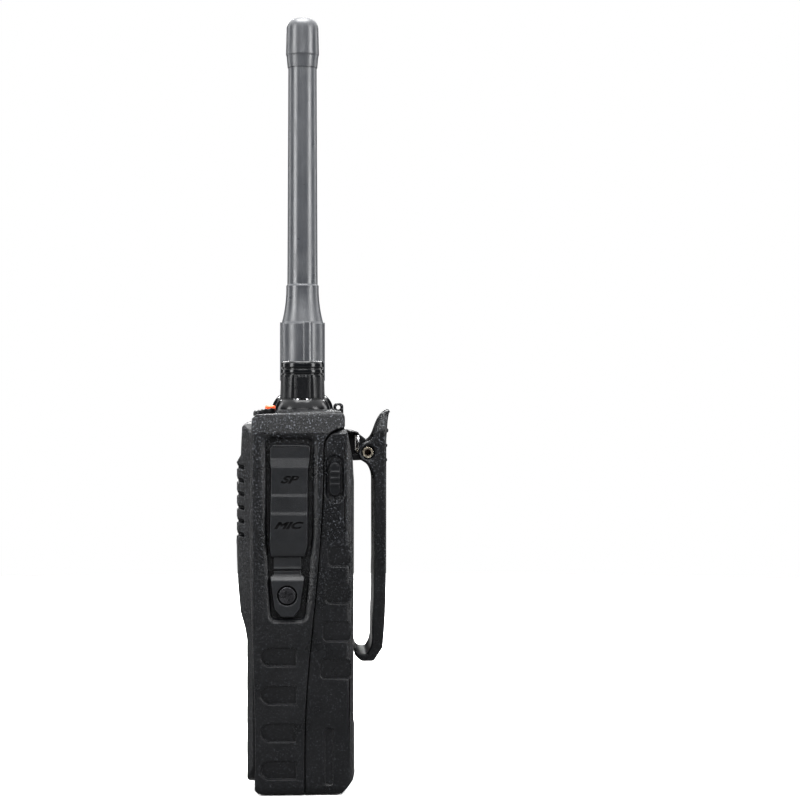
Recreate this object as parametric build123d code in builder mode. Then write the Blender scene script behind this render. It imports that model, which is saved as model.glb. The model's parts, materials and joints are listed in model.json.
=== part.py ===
"""Handheld two-way radio, as the separate pieces that it comes apart into. Millimetres.

X runs to the right and Z up for someone facing the display; Y runs from the front to the back.
The origin is on the surface that the radio stands on, midway across the case and under the
axes of the antenna and the knob.
"""

import os
from math import cos, pi, radians, sin

from build123d import *

os.makedirs("parts", exist_ok=True)

# Driving dimensions
CASE_HALF = 29.0  # half the case's width
CASE_FOOT_HALF = 28.2  # the same at the foot, where the case tapers
CASE_FRONT = -15.8
CASE_TOP = 120.2
WALL = 2.2
INSIDE_HALF = CASE_HALF - WALL
FAR = 60.0  # further than any part of the case, for shapes that cut right through

# The joint between the case and the battery pack, seen from the side: (Y, Z) pairs
SEAM = ((0.6, 0.0), (0.8, 24.0), (2.1, 43.0), (3.8, 60.0), (5.5, 80.0), (6.4, 97.0), (6.5, 108.5))
SEAM_GAP = 0.24
HOOD_BACK = 13.3  # the case's top reaches back over the pack to here
HOOD_UNDER = 115.1

# Front bezel
BEZEL_HALF = 25.5
BEZEL_FOOT, BEZEL_TOP = 3.6, 116.4
BEZEL_BACK = -14.4
BEZEL_FIT = 0.2
# Its face seen from the side: (Y, Z) pairs
BEZEL_FACE = (
    (-16.6, 3.6), (-17.3, 4.6), (-17.3, 48.0), (-18.0, 52.0), (-19.5, 57.0), (-20.3, 66.0),
    (-20.9, 78.0), (-20.9, 103.6), (-19.4, 106.2), (-19.0, 115.0), (-17.8, 116.4),
)

# Keypad
KEY_COLUMNS = (-13.6, 0.0, 13.6)
KEY_ROWS = (45.2, 34.6, 24.0, 13.4)
KEY_W, KEY_H, KEY_CORNER = 11.4, 7.6, 2.8
KEY_GAP = 0.3
KEY_FRONT, KEY_BACK = -17.5, -13.4
KEY_NAMES = (
    ("key_1", "key_2", "key_3"),
    ("key_4", "key_5", "key_6"),
    ("key_7", "key_8", "key_9"),
    ("key_star", "key_0", "key_hash"),
)

# Finger grooves of the case and grip pockets of the pack
GROOVE_Z, GROOVE_H = (43.3, 31.4, 19.7, 8.0), 5.7
POCKET_Z, POCKET_H = (74.65, 63.05, 51.25, 39.5), 6.2

# Display and loudspeaker
WINDOW_HALF, WINDOW_Z, WINDOW_H = 17.0, 68.6, 19.0
LENS_FRONT = -19.4
GRILLE_ROWS = (103.4, 99.2, 95.0, 90.8, 86.6)
GRILLE_HALVES = (10.5, 14.5, 16.5, 14.5, 10.5)
GRILLE_SLOT = 1.9
GRILLE_FACE = -20.2
RIB_FROM = 17.4
LOUVRE_STEP = 4.25
SPEAKER_Z, SPEAKER_R = 95.0, 15.0

# Push-to-talk side, at -X
PTT_Y, PTT_Z, PTT_W, PTT_H = -4.9, 87.6, 12.0, 18.8
PTT_FACE = 31.0
SIDE_KEY_Z = (70.6, 59.3)
SIDE_KEY = 8.0
ROUND_KEY_Z, ROUND_KEY_R = 104.8, 3.9
SIDE_FRAME_W, SIDE_FRAME_TOP, SIDE_FRAME_FOOT = 12.7, 112.2, 52.2
SIDE_WIDE_W, SIDE_WIDE_H = 17.8, 23.4
FRAME_FACE = 28.8

# The bevelled rims of the openings in both sides of the case
RIM_DEPTH, RIM_SLOPE = 1.0, 52

# Accessory side, at +X
COVER_TOP, COVER_FOOT = 111.8, 55.0
POCKET_FLOOR = 26.2
COVER_BACK, COVER_FACE = 26.4, 29.3
JACK_Y = -3.9
SPEAKER_JACK_Z, SPEAKER_JACK_R = 98.5, 1.8
MIC_JACK_Z, MIC_JACK_R = 84.5, 1.3
FLAP_HINGE_X, FLAP_HINGE_Z = 27.6, 70.9
FLAP_TOP = 109.7
NECK_Y = -4.7
COVER_SCREW_Y, COVER_SCREW_Z = -4.8, 62.5

# Top
TOWER_X = 16.0  # the antenna stands at -TOWER_X and the knob at +TOWER_X
ANTENNA_FOOT = 125.4
ANTENNA_TOP = 249.8
ANTENNA_CAP_Z = 233.4
KNOB_FOOT, KNOB_TOP, KNOB_R = 123.9, 135.8, 6.95
POT_SHAFT_R = 3.0
PLUG_R = 3.1
TOP_KEY_Y, TOP_KEY_TOP = -10.4, 121.8

# Battery pack
PACK_HALF = 28.4
PACK_BACK = 16.1
PACK_TOP = 114.5
LATCH_Y, LATCH_Z, LATCH_W, LATCH_H = 10.1, 98.8, 3.8, 10.8
LATCH_TRAVEL = 1.3
LABEL_W, LABEL_H, LABEL_Z = 46.0, 50.0, 74.0

CHASSIS_SCREWS = ((8.0, 0.3), (97.0, 6.1))  # (Z, Y of the chassis there)

# Belt clip
PIN_Y, PIN_Z, PIN_R = 20.7, 106.9, 1.7
CLIP_HALF = 19.0
BRACKET_HALF, BRACKET_EAR_FROM = 16.0, 13.4
CLIP_EAR_FROM = 16.3
CLIP_INSIDE, CLIP_OUTSIDE, CLIP_FOOT = 22.75, 26.4, 40.2
BRACKET_SCREW_X, BRACKET_SCREW_Z = 9.4, 109.9
SPRING_LEG_X, SPRING_LEG_Y, SPRING_LEG_TOP = 14.7, 16.85, 112.4
SPRING_R, SPRING_WIRE, SPRING_X, SPRING_W = 2.15, 0.8, 4.4, 4.8
SPRING_LEG_THINNER = 0.06  # so that a leg starts inside the wall of its coil


def keep(builder, name):
    """Names a finished piece and writes it as its own STEP."""
    builder.part.label = name
    export_step(builder.part, f"parts/{name}.step")


def seam_edge(shift, top_drop=0.0):
    """The seam as an edge moved back by shift; gives its upper end."""
    end = (SEAM[-1][0] + shift, SEAM[-1][1] - top_drop)
    Spline(*[(y + shift, z) for y, z in SEAM[:-1]], end, tangents=((0, 1), (0, 1)))
    return end


def case_outline():
    """The case seen from the side, with the hood that covers the top of the pack."""
    with BuildLine() as line:
        corner = seam_edge(0)
        TangentArc(corner, (11.5, 114.6), tangent=(0, 1))
        Polyline((11.5, 114.6), (HOOD_BACK, HOOD_UNDER), (HOOD_BACK, 117.6))
        TangentArc((HOOD_BACK, 117.6), (10.4, CASE_TOP), tangent=(0, 1))
        Polyline((10.4, CASE_TOP), (-14.4, 118.9), (CASE_FRONT, 117.7))
        Spline((CASE_FRONT, 117.7), (-16.4, 92), (-16.3, 72), (-15.1, 34), (-14.9, 1.6))
        Polyline((-14.9, 1.6), (-13.5, 0), SEAM[0])
    make_face(line.edges())


def pack_outline():
    """The battery pack seen from the side."""
    with BuildLine() as line:
        corner = seam_edge(SEAM_GAP, 0.4)
        TangentArc(corner, (11.7, 114.0), tangent=(0, 1))
        Polyline(
            (11.7, 114.0), (13.2, PACK_TOP), (14.0, 113.9), (15.7, 105), (PACK_BACK, 98),
            (PACK_BACK - 0.1, 23), (PACK_BACK + 0.3, 21.5), (PACK_BACK + 0.3, 7), (15.8, 4.6),
            (12.6, 0.5), (11.9, 0), (SEAM[0][0] + SEAM_GAP, 0),
        )
    make_face(line.edges())


def band_behind(near, far, foot, top):
    """A strip that follows the seam, from near to far behind it, between two heights."""
    with BuildLine() as line:
        seam_edge(near)
        seam_edge(far)
        Line((SEAM[0][0] + near, 0), (SEAM[0][0] + far, 0))
        Line((SEAM[-1][0] + near, SEAM[-1][1]), (SEAM[-1][0] + far, SEAM[-1][1]))
    make_face(line.edges())
    with Locations((0, (foot + top) / 2)):
        Rectangle(FAR, top - foot, mode=Mode.INTERSECT)


def side_frame_outline(grow=0.0):
    """The push-to-talk surround seen from the side: a column with a wider middle."""
    column = SIDE_FRAME_TOP - SIDE_FRAME_FOOT + 2 * grow
    with Locations((PTT_Y, (SIDE_FRAME_TOP + SIDE_FRAME_FOOT) / 2)):
        RectangleRounded(SIDE_FRAME_W + 2 * grow, column, 3.4 + grow)
    with Locations((PTT_Y, PTT_Z)):
        RectangleRounded(SIDE_WIDE_W + 2 * grow, SIDE_WIDE_H + 2 * grow, 3.4 + grow)


def cover_outline(grow):
    """The accessory cover's pocket seen from the side, narrower at the foot."""
    low, high = COVER_FOOT - grow, COVER_TOP + grow
    with BuildLine() as line:
        Polyline(
            (-11.5 - grow, high), (3.6 + grow, high), (3.2 + grow, 82), (0.9 + grow, low + 2),
            (0.6 + grow, low), (-9.6 - grow, low), (-9.9 - grow, low + 2), (-11.3 - grow, 82), close=True,
        )
    make_face(line.edges())
    fillet(vertices().group_by(Axis.Y)[-1], 2.6 + grow)
    fillet(vertices().group_by(Axis.Y)[0], 1.8)


def slab(name_plane, width, height, thickness, at, corner=0.0, mode=Mode.ADD):
    """A rounded plate on a plane, centred at a point of that plane."""
    with BuildSketch(name_plane) as outline:
        with Locations(at):
            if corner:
                RectangleRounded(width, height, corner)
            else:
                Rectangle(width, height)
    extrude(outline.sketch, amount=thickness, mode=mode)


def facing_front(y):
    """A plane whose sketches read as (X, Z) and whose extrusions run towards -Y."""
    return Plane(origin=(0, y, 0), x_dir=(1, 0, 0), z_dir=(0, -1, 0))


def facing_left(x):
    """A plane whose sketches read as (-Y, Z) and whose extrusions run towards -X."""
    return Plane(origin=(x, 0, 0), x_dir=(0, -1, 0), z_dir=(-1, 0, 0))


def facing_side(side, x):
    """A plane that faces out of the right (+1) or left (-1) side; it reads as (side * Y, Z)."""
    return Plane(origin=(side * x, 0, 0), x_dir=(0, side, 0), z_dir=(side, 0, 0))


def scoop(side, x, y, z, lean):
    """The floor of a finger scoop in a side wall: deeper downwards, and backwards if lean is positive."""
    return Plane(origin=(side * x, y, z), x_dir=(-lean, side, 0), z_dir=(side, lean, -0.17))


# Front shell of the case
with BuildPart() as front_case:
    with BuildSketch(Plane.YZ):
        case_outline()
    extrude(amount=CASE_HALF, both=True)
    with BuildSketch(Plane.XZ):
        with BuildLine():
            Polyline(
                (-CASE_FOOT_HALF, 0), (-CASE_HALF, 48), (-CASE_HALF, 113), (-26.5, CASE_TOP + 0.5),
                (26.5, CASE_TOP + 0.5), (CASE_HALF, 113), (CASE_HALF, 48), (CASE_FOOT_HALF, 0), close=True,
            )
        make_face()
        fillet(vertices().filter_by_position(Axis.Y, 110, 125), 3.2)
        fillet(vertices().group_by(Axis.Y)[0], 3.0)
    extrude(amount=FAR, both=True, mode=Mode.INTERSECT)
    with BuildSketch(Plane.XY):
        with Locations((0, (HOOD_BACK - 16.5) / 2)):
            Rectangle(2 * CASE_HALF, HOOD_BACK + 16.5)
        fillet(vertices().group_by(Axis.Y)[-1], 4.0)
        fillet(vertices().group_by(Axis.Y)[0], 1.6)
    extrude(amount=FAR * 3, both=True, mode=Mode.INTERSECT)
    # hollow, open at the back
    with BuildSketch(Plane.YZ):
        with BuildLine():
            Polyline(
                (-12.6, WALL), (9, WALL), (9, 104), (4.4, 106), (4.4, 116.8), (-12.6, 116.0), close=True,
            )
        make_face()
    extrude(amount=INSIDE_HALF - 0.4, both=True, mode=Mode.SUBTRACT)
    # thicker wall behind the accessory cover, with its pocket
    with BuildSketch(Plane.YZ.offset(POCKET_FLOOR - 1.8)):
        cover_outline(1.8)
        with BuildLine() as edge:
            seam_edge(-0.4)
            Polyline(
                (SEAM[0][0] - 0.4, 0), (-FAR, 0), (-FAR, 116.8), (SEAM[-1][0] - 0.4, 116.8),
                (SEAM[-1][0] - 0.4, SEAM[-1][1]),
            )
        make_face(edge.edges(), mode=Mode.INTERSECT)
    extrude(amount=2.4)
    with BuildSketch(Plane.YZ.offset(POCKET_FLOOR)):
        cover_outline(0)
    extrude(amount=FAR, mode=Mode.SUBTRACT)
    with BuildSketch(Plane.YZ.offset(CASE_HALF - RIM_DEPTH)):
        cover_outline(0)
    extrude(amount=RIM_DEPTH + 0.1, taper=-RIM_SLOPE, mode=Mode.SUBTRACT)
    with Locations((POCKET_FLOOR, JACK_Y, SPEAKER_JACK_Z)):
        Cylinder(3.6, 8, rotation=(0, 90, 0), mode=Mode.SUBTRACT)
    with Locations((POCKET_FLOOR, JACK_Y, MIC_JACK_Z)):
        Cylinder(3.0, 8, rotation=(0, 90, 0), mode=Mode.SUBTRACT)
    with Locations((POCKET_FLOOR, COVER_SCREW_Y, COVER_SCREW_Z)):
        Cylinder(1.3, 8, rotation=(0, 90, 0), mode=Mode.SUBTRACT)
    # opening for the side keys, with a bevelled rim
    with BuildSketch(Plane.YZ.offset(-CASE_HALF - 1)):
        side_frame_outline()
    extrude(amount=WALL + 2, mode=Mode.SUBTRACT)
    with BuildSketch(facing_left(RIM_DEPTH - CASE_HALF)):
        with Locations((-PTT_Y, (SIDE_FRAME_TOP + SIDE_FRAME_FOOT) / 2)):
            RectangleRounded(SIDE_FRAME_W, SIDE_FRAME_TOP - SIDE_FRAME_FOOT, 3.4)
        with Locations((-PTT_Y, PTT_Z)):
            RectangleRounded(SIDE_WIDE_W, SIDE_WIDE_H, 3.4)
    extrude(amount=RIM_DEPTH + 0.1, taper=-RIM_SLOPE, mode=Mode.SUBTRACT)
    # towers under the antenna and the knob
    for x, foot_r, top_r, top_z in ((-TOWER_X, 10.2, 7.5, 125.1), (TOWER_X, 8.8, 7.1, 123.6)):
        with BuildSketch(Plane.XZ):
            with BuildLine():
                Polyline((x, top_z), (x, 117), (x + foot_r, 117), (x + foot_r, 119.6))
                Spline((x + foot_r, 119.6), (x + (foot_r + top_r) / 2 + 0.4, top_z - 1.9), (x + top_r, top_z))
                Line((x + top_r, top_z), (x, top_z))
            make_face()
        revolve(axis=Axis((x, 0, 0), (0, 0, 1)))
        with Locations((x, 0, 120)):
            Cylinder(4.2, 16, mode=Mode.SUBTRACT)
    # seats for the top key's pad and the bezel, with the opening behind the bezel
    slab(Plane.XY.offset(118.2), 17.0, 8.2, 5, (0, -11.9), 3.0, Mode.SUBTRACT)
    slab(Plane.XY.offset(110), 9.6, 4.0, 12, (0, TOP_KEY_Y), 1.0, Mode.SUBTRACT)
    slab(
        facing_front(BEZEL_BACK), 2 * (BEZEL_HALF + BEZEL_FIT), BEZEL_TOP - BEZEL_FOOT + 2 * BEZEL_FIT, 8,
        (0, (BEZEL_FOOT + BEZEL_TOP) / 2), 6.2, Mode.SUBTRACT,
    )
    slab(facing_front(-11), 45, 106, 8, (0, 59.5), 4.0, Mode.SUBTRACT)
    # hole for the status lamp
    with Locations((0, -3.4, 118)):
        Cylinder(1.5, 8, mode=Mode.SUBTRACT)
    # lanyard eye on the back edge of the top
    with BuildSketch(Plane.YZ):
        with Locations((11.6, 119.7)):
            RectangleRounded(3.2, 5.6, 1.2)
    extrude(amount=2.6, both=True)
    with Locations((0, 11.6, 121.1)):
        Cylinder(0.7, 9, rotation=(0, 90, 0), mode=Mode.SUBTRACT)
    # finger grooves low on both sides, rounded at the front and deepest at their lower edge
    for height in GROOVE_Z:
        for side in (-1, 1):
            skin = CASE_HALF - (CASE_HALF - CASE_FOOT_HALF) * (48 - height) / 48
            with BuildSketch(scoop(side, skin - 0.75, -7.2, height, -0.05)):
                with Locations((side * 1.1, 0)):
                    Rectangle(8.2, GROOVE_H)
                with Locations((side * -3.0, 0)):
                    Circle(GROOVE_H / 2)
            extrude(amount=4, mode=Mode.SUBTRACT)
keep(front_case, "front_case")

# Bezel: the raised front with the grille, the window and the keypad openings
with BuildPart() as bezel:
    with BuildSketch(Plane.YZ):
        with BuildLine():
            Polyline(*BEZEL_FACE)
            Polyline(BEZEL_FACE[-1], (BEZEL_BACK, BEZEL_TOP), (BEZEL_BACK, BEZEL_FOOT), BEZEL_FACE[0])
        make_face()
    extrude(amount=BEZEL_HALF, both=True)
    slab(
        facing_front(0), 2 * BEZEL_HALF, BEZEL_TOP - BEZEL_FOOT, FAR,
        (0, (BEZEL_FOOT + BEZEL_TOP) / 2), 6.0, Mode.INTERSECT,
    )
    with BuildSketch(Plane.XY):
        with BuildLine():
            Polyline(
                (-BEZEL_HALF, -14), (-BEZEL_HALF, -15.6), (-23.6, -17.6), (-20.6, -20.4), (-15, -21.0),
                (15, -21.0), (20.6, -20.4), (23.6, -17.6), (BEZEL_HALF, -15.6), (BEZEL_HALF, -14), close=True,
            )
        make_face()
    extrude(amount=FAR * 2, mode=Mode.INTERSECT)
    # loudspeaker chamber and grille
    with Locations((0, BEZEL_BACK - 1.6, SPEAKER_Z)):
        Cylinder(SPEAKER_R + 0.3, 3.4, rotation=(90, 0, 0), mode=Mode.SUBTRACT)
    with BuildSketch(facing_front(-16)):
        for height, half in zip(GRILLE_ROWS, GRILLE_HALVES):
            with Locations((0, height)):
                SlotOverall(2 * half, GRILLE_SLOT)
    extrude(amount=6, mode=Mode.SUBTRACT)
    # window, its ledge and the space for the display panel
    slab(facing_front(LENS_FRONT + 1.3), 2 * WINDOW_HALF + 0.4, WINDOW_H + 0.4, 4, (0, WINDOW_Z), 2.4, Mode.SUBTRACT)
    slab(facing_front(-14), 2 * WINDOW_HALF - 3.4, WINDOW_H - 3.0, 6, (0, WINDOW_Z), 1.4, Mode.SUBTRACT)
    slab(facing_front(-14), 2 * WINDOW_HALF + 2, WINDOW_H - 1.4, 3.1, (0, WINDOW_Z), 1.0, Mode.SUBTRACT)
    # keypad openings
    for height in KEY_ROWS:
        for x in KEY_COLUMNS:
            slab(
                facing_front(-14), KEY_W + 2 * KEY_GAP, KEY_H + 2 * KEY_GAP, 5, (x, height),
                KEY_CORNER + KEY_GAP, Mode.SUBTRACT,
            )
    # the middle lies a little lower than the ribs down both edges, which short louvres part
    slab(facing_front(GRILLE_FACE), 2 * RIB_FROM, 26.4, 4, (0, 92.2), 3.0, Mode.SUBTRACT)
    for step in range(6):
        for side in (-1, 1):
            height = 102.2 - LOUVRE_STEP * step
            with Locations((side * 22.9, -19.9, height)):
                Box(5.4, 3.4, 1.3, rotation=(0, side * 14, 0), mode=Mode.SUBTRACT)
            with Locations((side * (RIB_FROM + 2.6), GRILLE_FACE - 2, height)):
                Box(6.0, 4.0, 1.5, rotation=(0, side * 14, 0), mode=Mode.SUBTRACT)
    # sound hole of the microphone, beside the window
    with Locations((19.6, -17, 56.5)):
        Cylinder(0.6, 8, rotation=(90, 0, 0), mode=Mode.SUBTRACT)
keep(bezel, "bezel")

# Felt disc behind the grille
with BuildPart() as grille_felt:
    with Locations((0, -17.3, SPEAKER_Z)):
        Cylinder(SPEAKER_R, 0.4, rotation=(90, 0, 0))
keep(grille_felt, "grille_felt")

with BuildPart() as display_lens:
    slab(facing_front(LENS_FRONT + 1.3), 2 * WINDOW_HALF, WINDOW_H, 1.3, (0, WINDOW_Z), 2.2)
keep(display_lens, "display_lens")

with BuildPart() as display_panel:
    slab(facing_front(-14.6), 2 * WINDOW_HALF + 1.4, WINDOW_H - 2.0, 2.4, (0, WINDOW_Z), 0.7)
    slab(facing_front(-17.0), 2 * WINDOW_HALF - 4.2, WINDOW_H - 3.8, 0.7, (0, WINDOW_Z), 0.7)
keep(display_panel, "display_panel")

# Keys of the keypad: a crowned cap with a flange behind the bezel
for names, height in zip(KEY_NAMES, KEY_ROWS):
    for name, x in zip(names, KEY_COLUMNS):
        with BuildPart() as key:
            slab(facing_front(KEY_BACK), KEY_W, KEY_H, KEY_BACK - KEY_FRONT, (x, height), KEY_CORNER)
            fillet(key.edges().group_by(Axis.Y)[0], 0.7)
            slab(facing_front(KEY_BACK), KEY_W + 1.5, KEY_H + 1.4, 0.7, (x, height), KEY_CORNER + 0.6)
        keep(key, name)

with BuildPart() as keypad_mat:
    slab(facing_front(-11.6), 42, 44, 0.6, (0, 29.3), 2.0)
    for height in KEY_ROWS:
        for x in KEY_COLUMNS:
            with Locations((x, -12.35, height)):
                Cylinder(2.4, 0.35, rotation=(90, 0, 0))
keep(keypad_mat, "keypad_mat")

with BuildPart() as main_board:
    slab(facing_front(-9.8), 47, 102, 1.6, (0, 56.5), 2.0)
    for x, z, width, height, depth in (
        (-8, 30, 12, 12, 1.6), (12, 30, 9, 9, 1.4), (4, 52, 16, 10, 2.0), (-14, 60, 8, 12, 2.4),
        (10, 74, 10, 8, 1.8), (-4, 84, 14, 10, 2.2),
    ):
        slab(facing_front(-9.8 + depth), width, height, depth, (x, z))
keep(main_board, "main_board")

# Die-cast chassis that closes the back of the radio; the pack lies against it
with BuildPart() as chassis:
    with BuildSketch(Plane.YZ):
        band_behind(-2.4, 0.1, 2.6, 103.6)
    extrude(amount=24.1, both=True)
    for z, face in CHASSIS_SCREWS:
        for x in (-20, 20):
            with Locations((x, 0, z)):
                Cylinder(1.1, 30, rotation=(90, 0, 0), mode=Mode.SUBTRACT)
            with Locations((x, face + 5 - 0.4, z)):
                Cylinder(2.1, 10, rotation=(90, 0, 0), mode=Mode.SUBTRACT)
    for x in (-9, 0, 9):
        with Locations((x, 0, 33)):
            Box(5.4, 12, 9.4, mode=Mode.SUBTRACT)
keep(chassis, "chassis")

with BuildPart() as chassis_screws:
    for z, face in CHASSIS_SCREWS:
        for x in (-20, 20):
            with Locations((x, face, z)):
                Cylinder(1.9, 0.8, rotation=(90, 0, 0))
            with Locations((x, face + 0.3, z)):
                Box(0.5, 0.5, 2.6, mode=Mode.SUBTRACT)
                Box(2.6, 0.5, 0.5, mode=Mode.SUBTRACT)
            with Locations((x, face - 2.9, z)):
                Cylinder(1.1, 5.2, rotation=(90, 0, 0))
keep(chassis_screws, "chassis_screws")

with BuildPart() as loudspeaker:
    with Locations((0, -15.3, SPEAKER_Z)):
        Cylinder(SPEAKER_R, 2.6, rotation=(90, 0, 0))
    with Locations((0, -16.6, SPEAKER_Z)):
        Cone(12.6, 6.0, 1.8, rotation=(-90, 0, 0), mode=Mode.SUBTRACT)
    with Locations((0, -12.9, SPEAKER_Z)):
        Cylinder(7.6, 2.2, rotation=(90, 0, 0))
keep(loudspeaker, "loudspeaker")

with BuildPart() as microphone:
    with Locations((19.6, -13.3, 56.5)):
        Cylinder(2.0, 2.0, rotation=(90, 0, 0))
keep(microphone, "microphone")

# Volume control under the knob, and the split shaft that turns with the knob
with BuildPart() as volume_control:
    slab(Plane.XY.offset(108.4), 12.0, 8.4, 6.4, (TOWER_X, 0), 0.8)
    with Locations((TOWER_X, 0, 118)):
        Cylinder(4.0, 7.2)
    with Locations((TOWER_X, 0, 117)):
        Cylinder(POT_SHAFT_R + 0.06, 11.0, mode=Mode.SUBTRACT)
keep(volume_control, "volume_control")

with BuildPart() as volume_shaft:
    with Locations((TOWER_X, 0, 121.8)):
        Cylinder(POT_SHAFT_R, 19.6)
    with Locations((TOWER_X, 0, 130.0)):
        Box(0.8, 8, 4.0, mode=Mode.SUBTRACT)
keep(volume_shaft, "volume_shaft")

with BuildPart() as knob:
    with BuildSketch(Plane.XY.offset(KNOB_FOOT)):
        with Locations((TOWER_X, 0)):
            Circle(KNOB_R + 0.1)
    extrude(amount=KNOB_TOP - KNOB_FOOT, taper=1.6)
    fillet(knob.edges().group_by(Axis.Z)[-1], 1.0)
    for turn in range(8):
        angle = radians(45 * turn + 22.5)
        with Locations((TOWER_X + 7.6 * cos(angle), 7.6 * sin(angle), 127.6)):
            Cylinder(1.1, 8.2, mode=Mode.SUBTRACT)
    with BuildSketch(Plane.XZ):
        for z in (131.7, 133.5):
            with Locations((TOWER_X + KNOB_R, z)):
                Rectangle(1.0, 0.5)
    revolve(axis=Axis((TOWER_X, 0, 0), (0, 0, 1)), mode=Mode.SUBTRACT)
    with Locations((TOWER_X, 0, 127.8)):
        Cylinder(POT_SHAFT_R + 0.04, 8.4, mode=Mode.SUBTRACT)
keep(knob, "knob")

# Antenna: socket in the tower, plug, coil inside, rubber sheath and cap
with BuildPart() as antenna_socket:
    with Locations((-TOWER_X, 0, 117.2)):
        Cylinder(4.0, 15.2)
    slab(Plane.XY.offset(108.6), 8.4, 8.4, 1.6, (-TOWER_X, 0), 0.8)
    with Locations((-TOWER_X, 0, 121.0)):
        Cylinder(PLUG_R, 12, mode=Mode.SUBTRACT)
    with Locations((-TOWER_X, 0, 114)):
        Cylinder(0.5, 8)
keep(antenna_socket, "antenna_socket")

with BuildPart() as antenna_plug:
    with Locations((-TOWER_X, 0, 123.6)):
        Cylinder(PLUG_R - 0.06, 12.4)
    with Locations((-TOWER_X, 0, 131.9)):
        Cylinder(4.3, 8.0)
    with Locations((-TOWER_X, 0, 118.4)):
        Cylinder(0.75, 4, mode=Mode.SUBTRACT)
keep(antenna_plug, "antenna_plug")

with BuildPart() as antenna_coil:
    with BuildLine() as coil_path:
        Helix(pitch=6.0, height=66, radius=1.7, center=(-TOWER_X, 0, 160))
    with BuildSketch(Plane(coil_path.line @ 0, z_dir=coil_path.line % 0)):
        Circle(0.45)
    sweep()
    with Locations((-TOWER_X, 0, 186)):
        Cylinder(1.4, 84)
    with Locations((-TOWER_X, 0, 140.0)):
        Cylinder(1.2, 8.2)
keep(antenna_coil, "antenna_coil")

with BuildPart() as antenna_sheath:
    with BuildSketch(Plane.XZ):
        with BuildLine():
            Polyline(
                (-TOWER_X, ANTENNA_FOOT), (7.1 - TOWER_X, ANTENNA_FOOT), (7.1 - TOWER_X, 148.6),
                (6.75 - TOWER_X, 149.4),
            )
            Spline((6.75 - TOWER_X, 149.4), (5.9 - TOWER_X, 153.4), (5.35 - TOWER_X, 161.2))
            Polyline(
                (5.35 - TOWER_X, 161.2), (5.0 - TOWER_X, 161.8), (4.68 - TOWER_X, ANTENNA_CAP_Z),
                (-TOWER_X, ANTENNA_CAP_Z), (-TOWER_X, ANTENNA_FOOT),
            )
        make_face()
    revolve(axis=Axis((-TOWER_X, 0, 0), (0, 0, 1)))
    # four raised ribs round the grip
    for turn in range(4):
        angle = radians(90 * turn + 15)
        with Locations((-TOWER_X + 5.35 * cos(angle), 5.35 * sin(angle), 139.5)):
            Cylinder(2.25, 19.2)
    with Locations((-TOWER_X, 0, 131.9)):
        Cylinder(4.4, 8.2, mode=Mode.SUBTRACT)
    with Locations((-TOWER_X, 0, 126)):
        Cylinder(3.4, 6, mode=Mode.SUBTRACT)
    with Locations((-TOWER_X, 0, 183)):
        Cylinder(3.3, 94.3, mode=Mode.SUBTRACT)
keep(antenna_sheath, "antenna_sheath")

with BuildPart() as antenna_cap:
    with BuildSketch(Plane.XZ):
        with BuildLine():
            Polyline(
                (-TOWER_X, ANTENNA_CAP_Z), (4.9 - TOWER_X, ANTENNA_CAP_Z), (5.25 - TOWER_X, 237.2),
                (5.45 - TOWER_X, 237.8), (5.25 - TOWER_X, ANTENNA_TOP - 3.4),
            )
            TangentArc((5.25 - TOWER_X, ANTENNA_TOP - 3.4), (2.0 - TOWER_X, ANTENNA_TOP), tangent=(0, 1))
            Polyline((2.0 - TOWER_X, ANTENNA_TOP), (-TOWER_X, ANTENNA_TOP), (-TOWER_X, ANTENNA_CAP_Z))
        make_face()
    revolve(axis=Axis((-TOWER_X, 0, 0), (0, 0, 1)))
keep(antenna_cap, "antenna_cap")

# Push-to-talk side: rubber surround, four keys and the switches behind them
with BuildPart() as side_frame:
    with BuildSketch(Plane.YZ.offset(-FRAME_FACE)):
        side_frame_outline(-0.15)
    extrude(amount=2.0)
    with BuildSketch(Plane.YZ.offset(-FRAME_FACE - 1)):
        with Locations((PTT_Y, PTT_Z)):
            RectangleRounded(PTT_W + 0.6, PTT_H + 0.6, 2.0)
        with Locations((PTT_Y, SIDE_KEY_Z[0]), (PTT_Y, SIDE_KEY_Z[1])):
            RectangleRounded(SIDE_KEY + 0.6, SIDE_KEY + 0.6, 1.8)
        with Locations((PTT_Y, ROUND_KEY_Z)):
            Circle(ROUND_KEY_R + 0.3)
    extrude(amount=5, mode=Mode.SUBTRACT)
    # raised ring round the large key, ledges under the small ones and an arched lip at the top
    with BuildSketch(facing_left(0.2 - FRAME_FACE)):
        with Locations((-PTT_Y, PTT_Z)):
            RectangleRounded(PTT_W + 3.8, PTT_H + 3.4, 3.2)
            RectangleRounded(PTT_W + 1.2, PTT_H + 1.2, 2.2, mode=Mode.SUBTRACT)
    extrude(amount=0.9, taper=12)
    for z in SIDE_KEY_Z:
        slab(facing_left(0.2 - FRAME_FACE), 9.6, 1.0, 0.7, (-PTT_Y, z - 5.0), 0.4)
    with BuildSketch(facing_left(0.2 - FRAME_FACE)):
        with Locations((-PTT_Y, ROUND_KEY_Z)):
            Circle(ROUND_KEY_R + 2.3)
            Circle(ROUND_KEY_R + 1.1, mode=Mode.SUBTRACT)
        with Locations((-PTT_Y, ROUND_KEY_Z - 8)):
            Rectangle(FAR, 19, mode=Mode.SUBTRACT)
    extrude(amount=0.7)
keep(side_frame, "side_frame")

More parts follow.
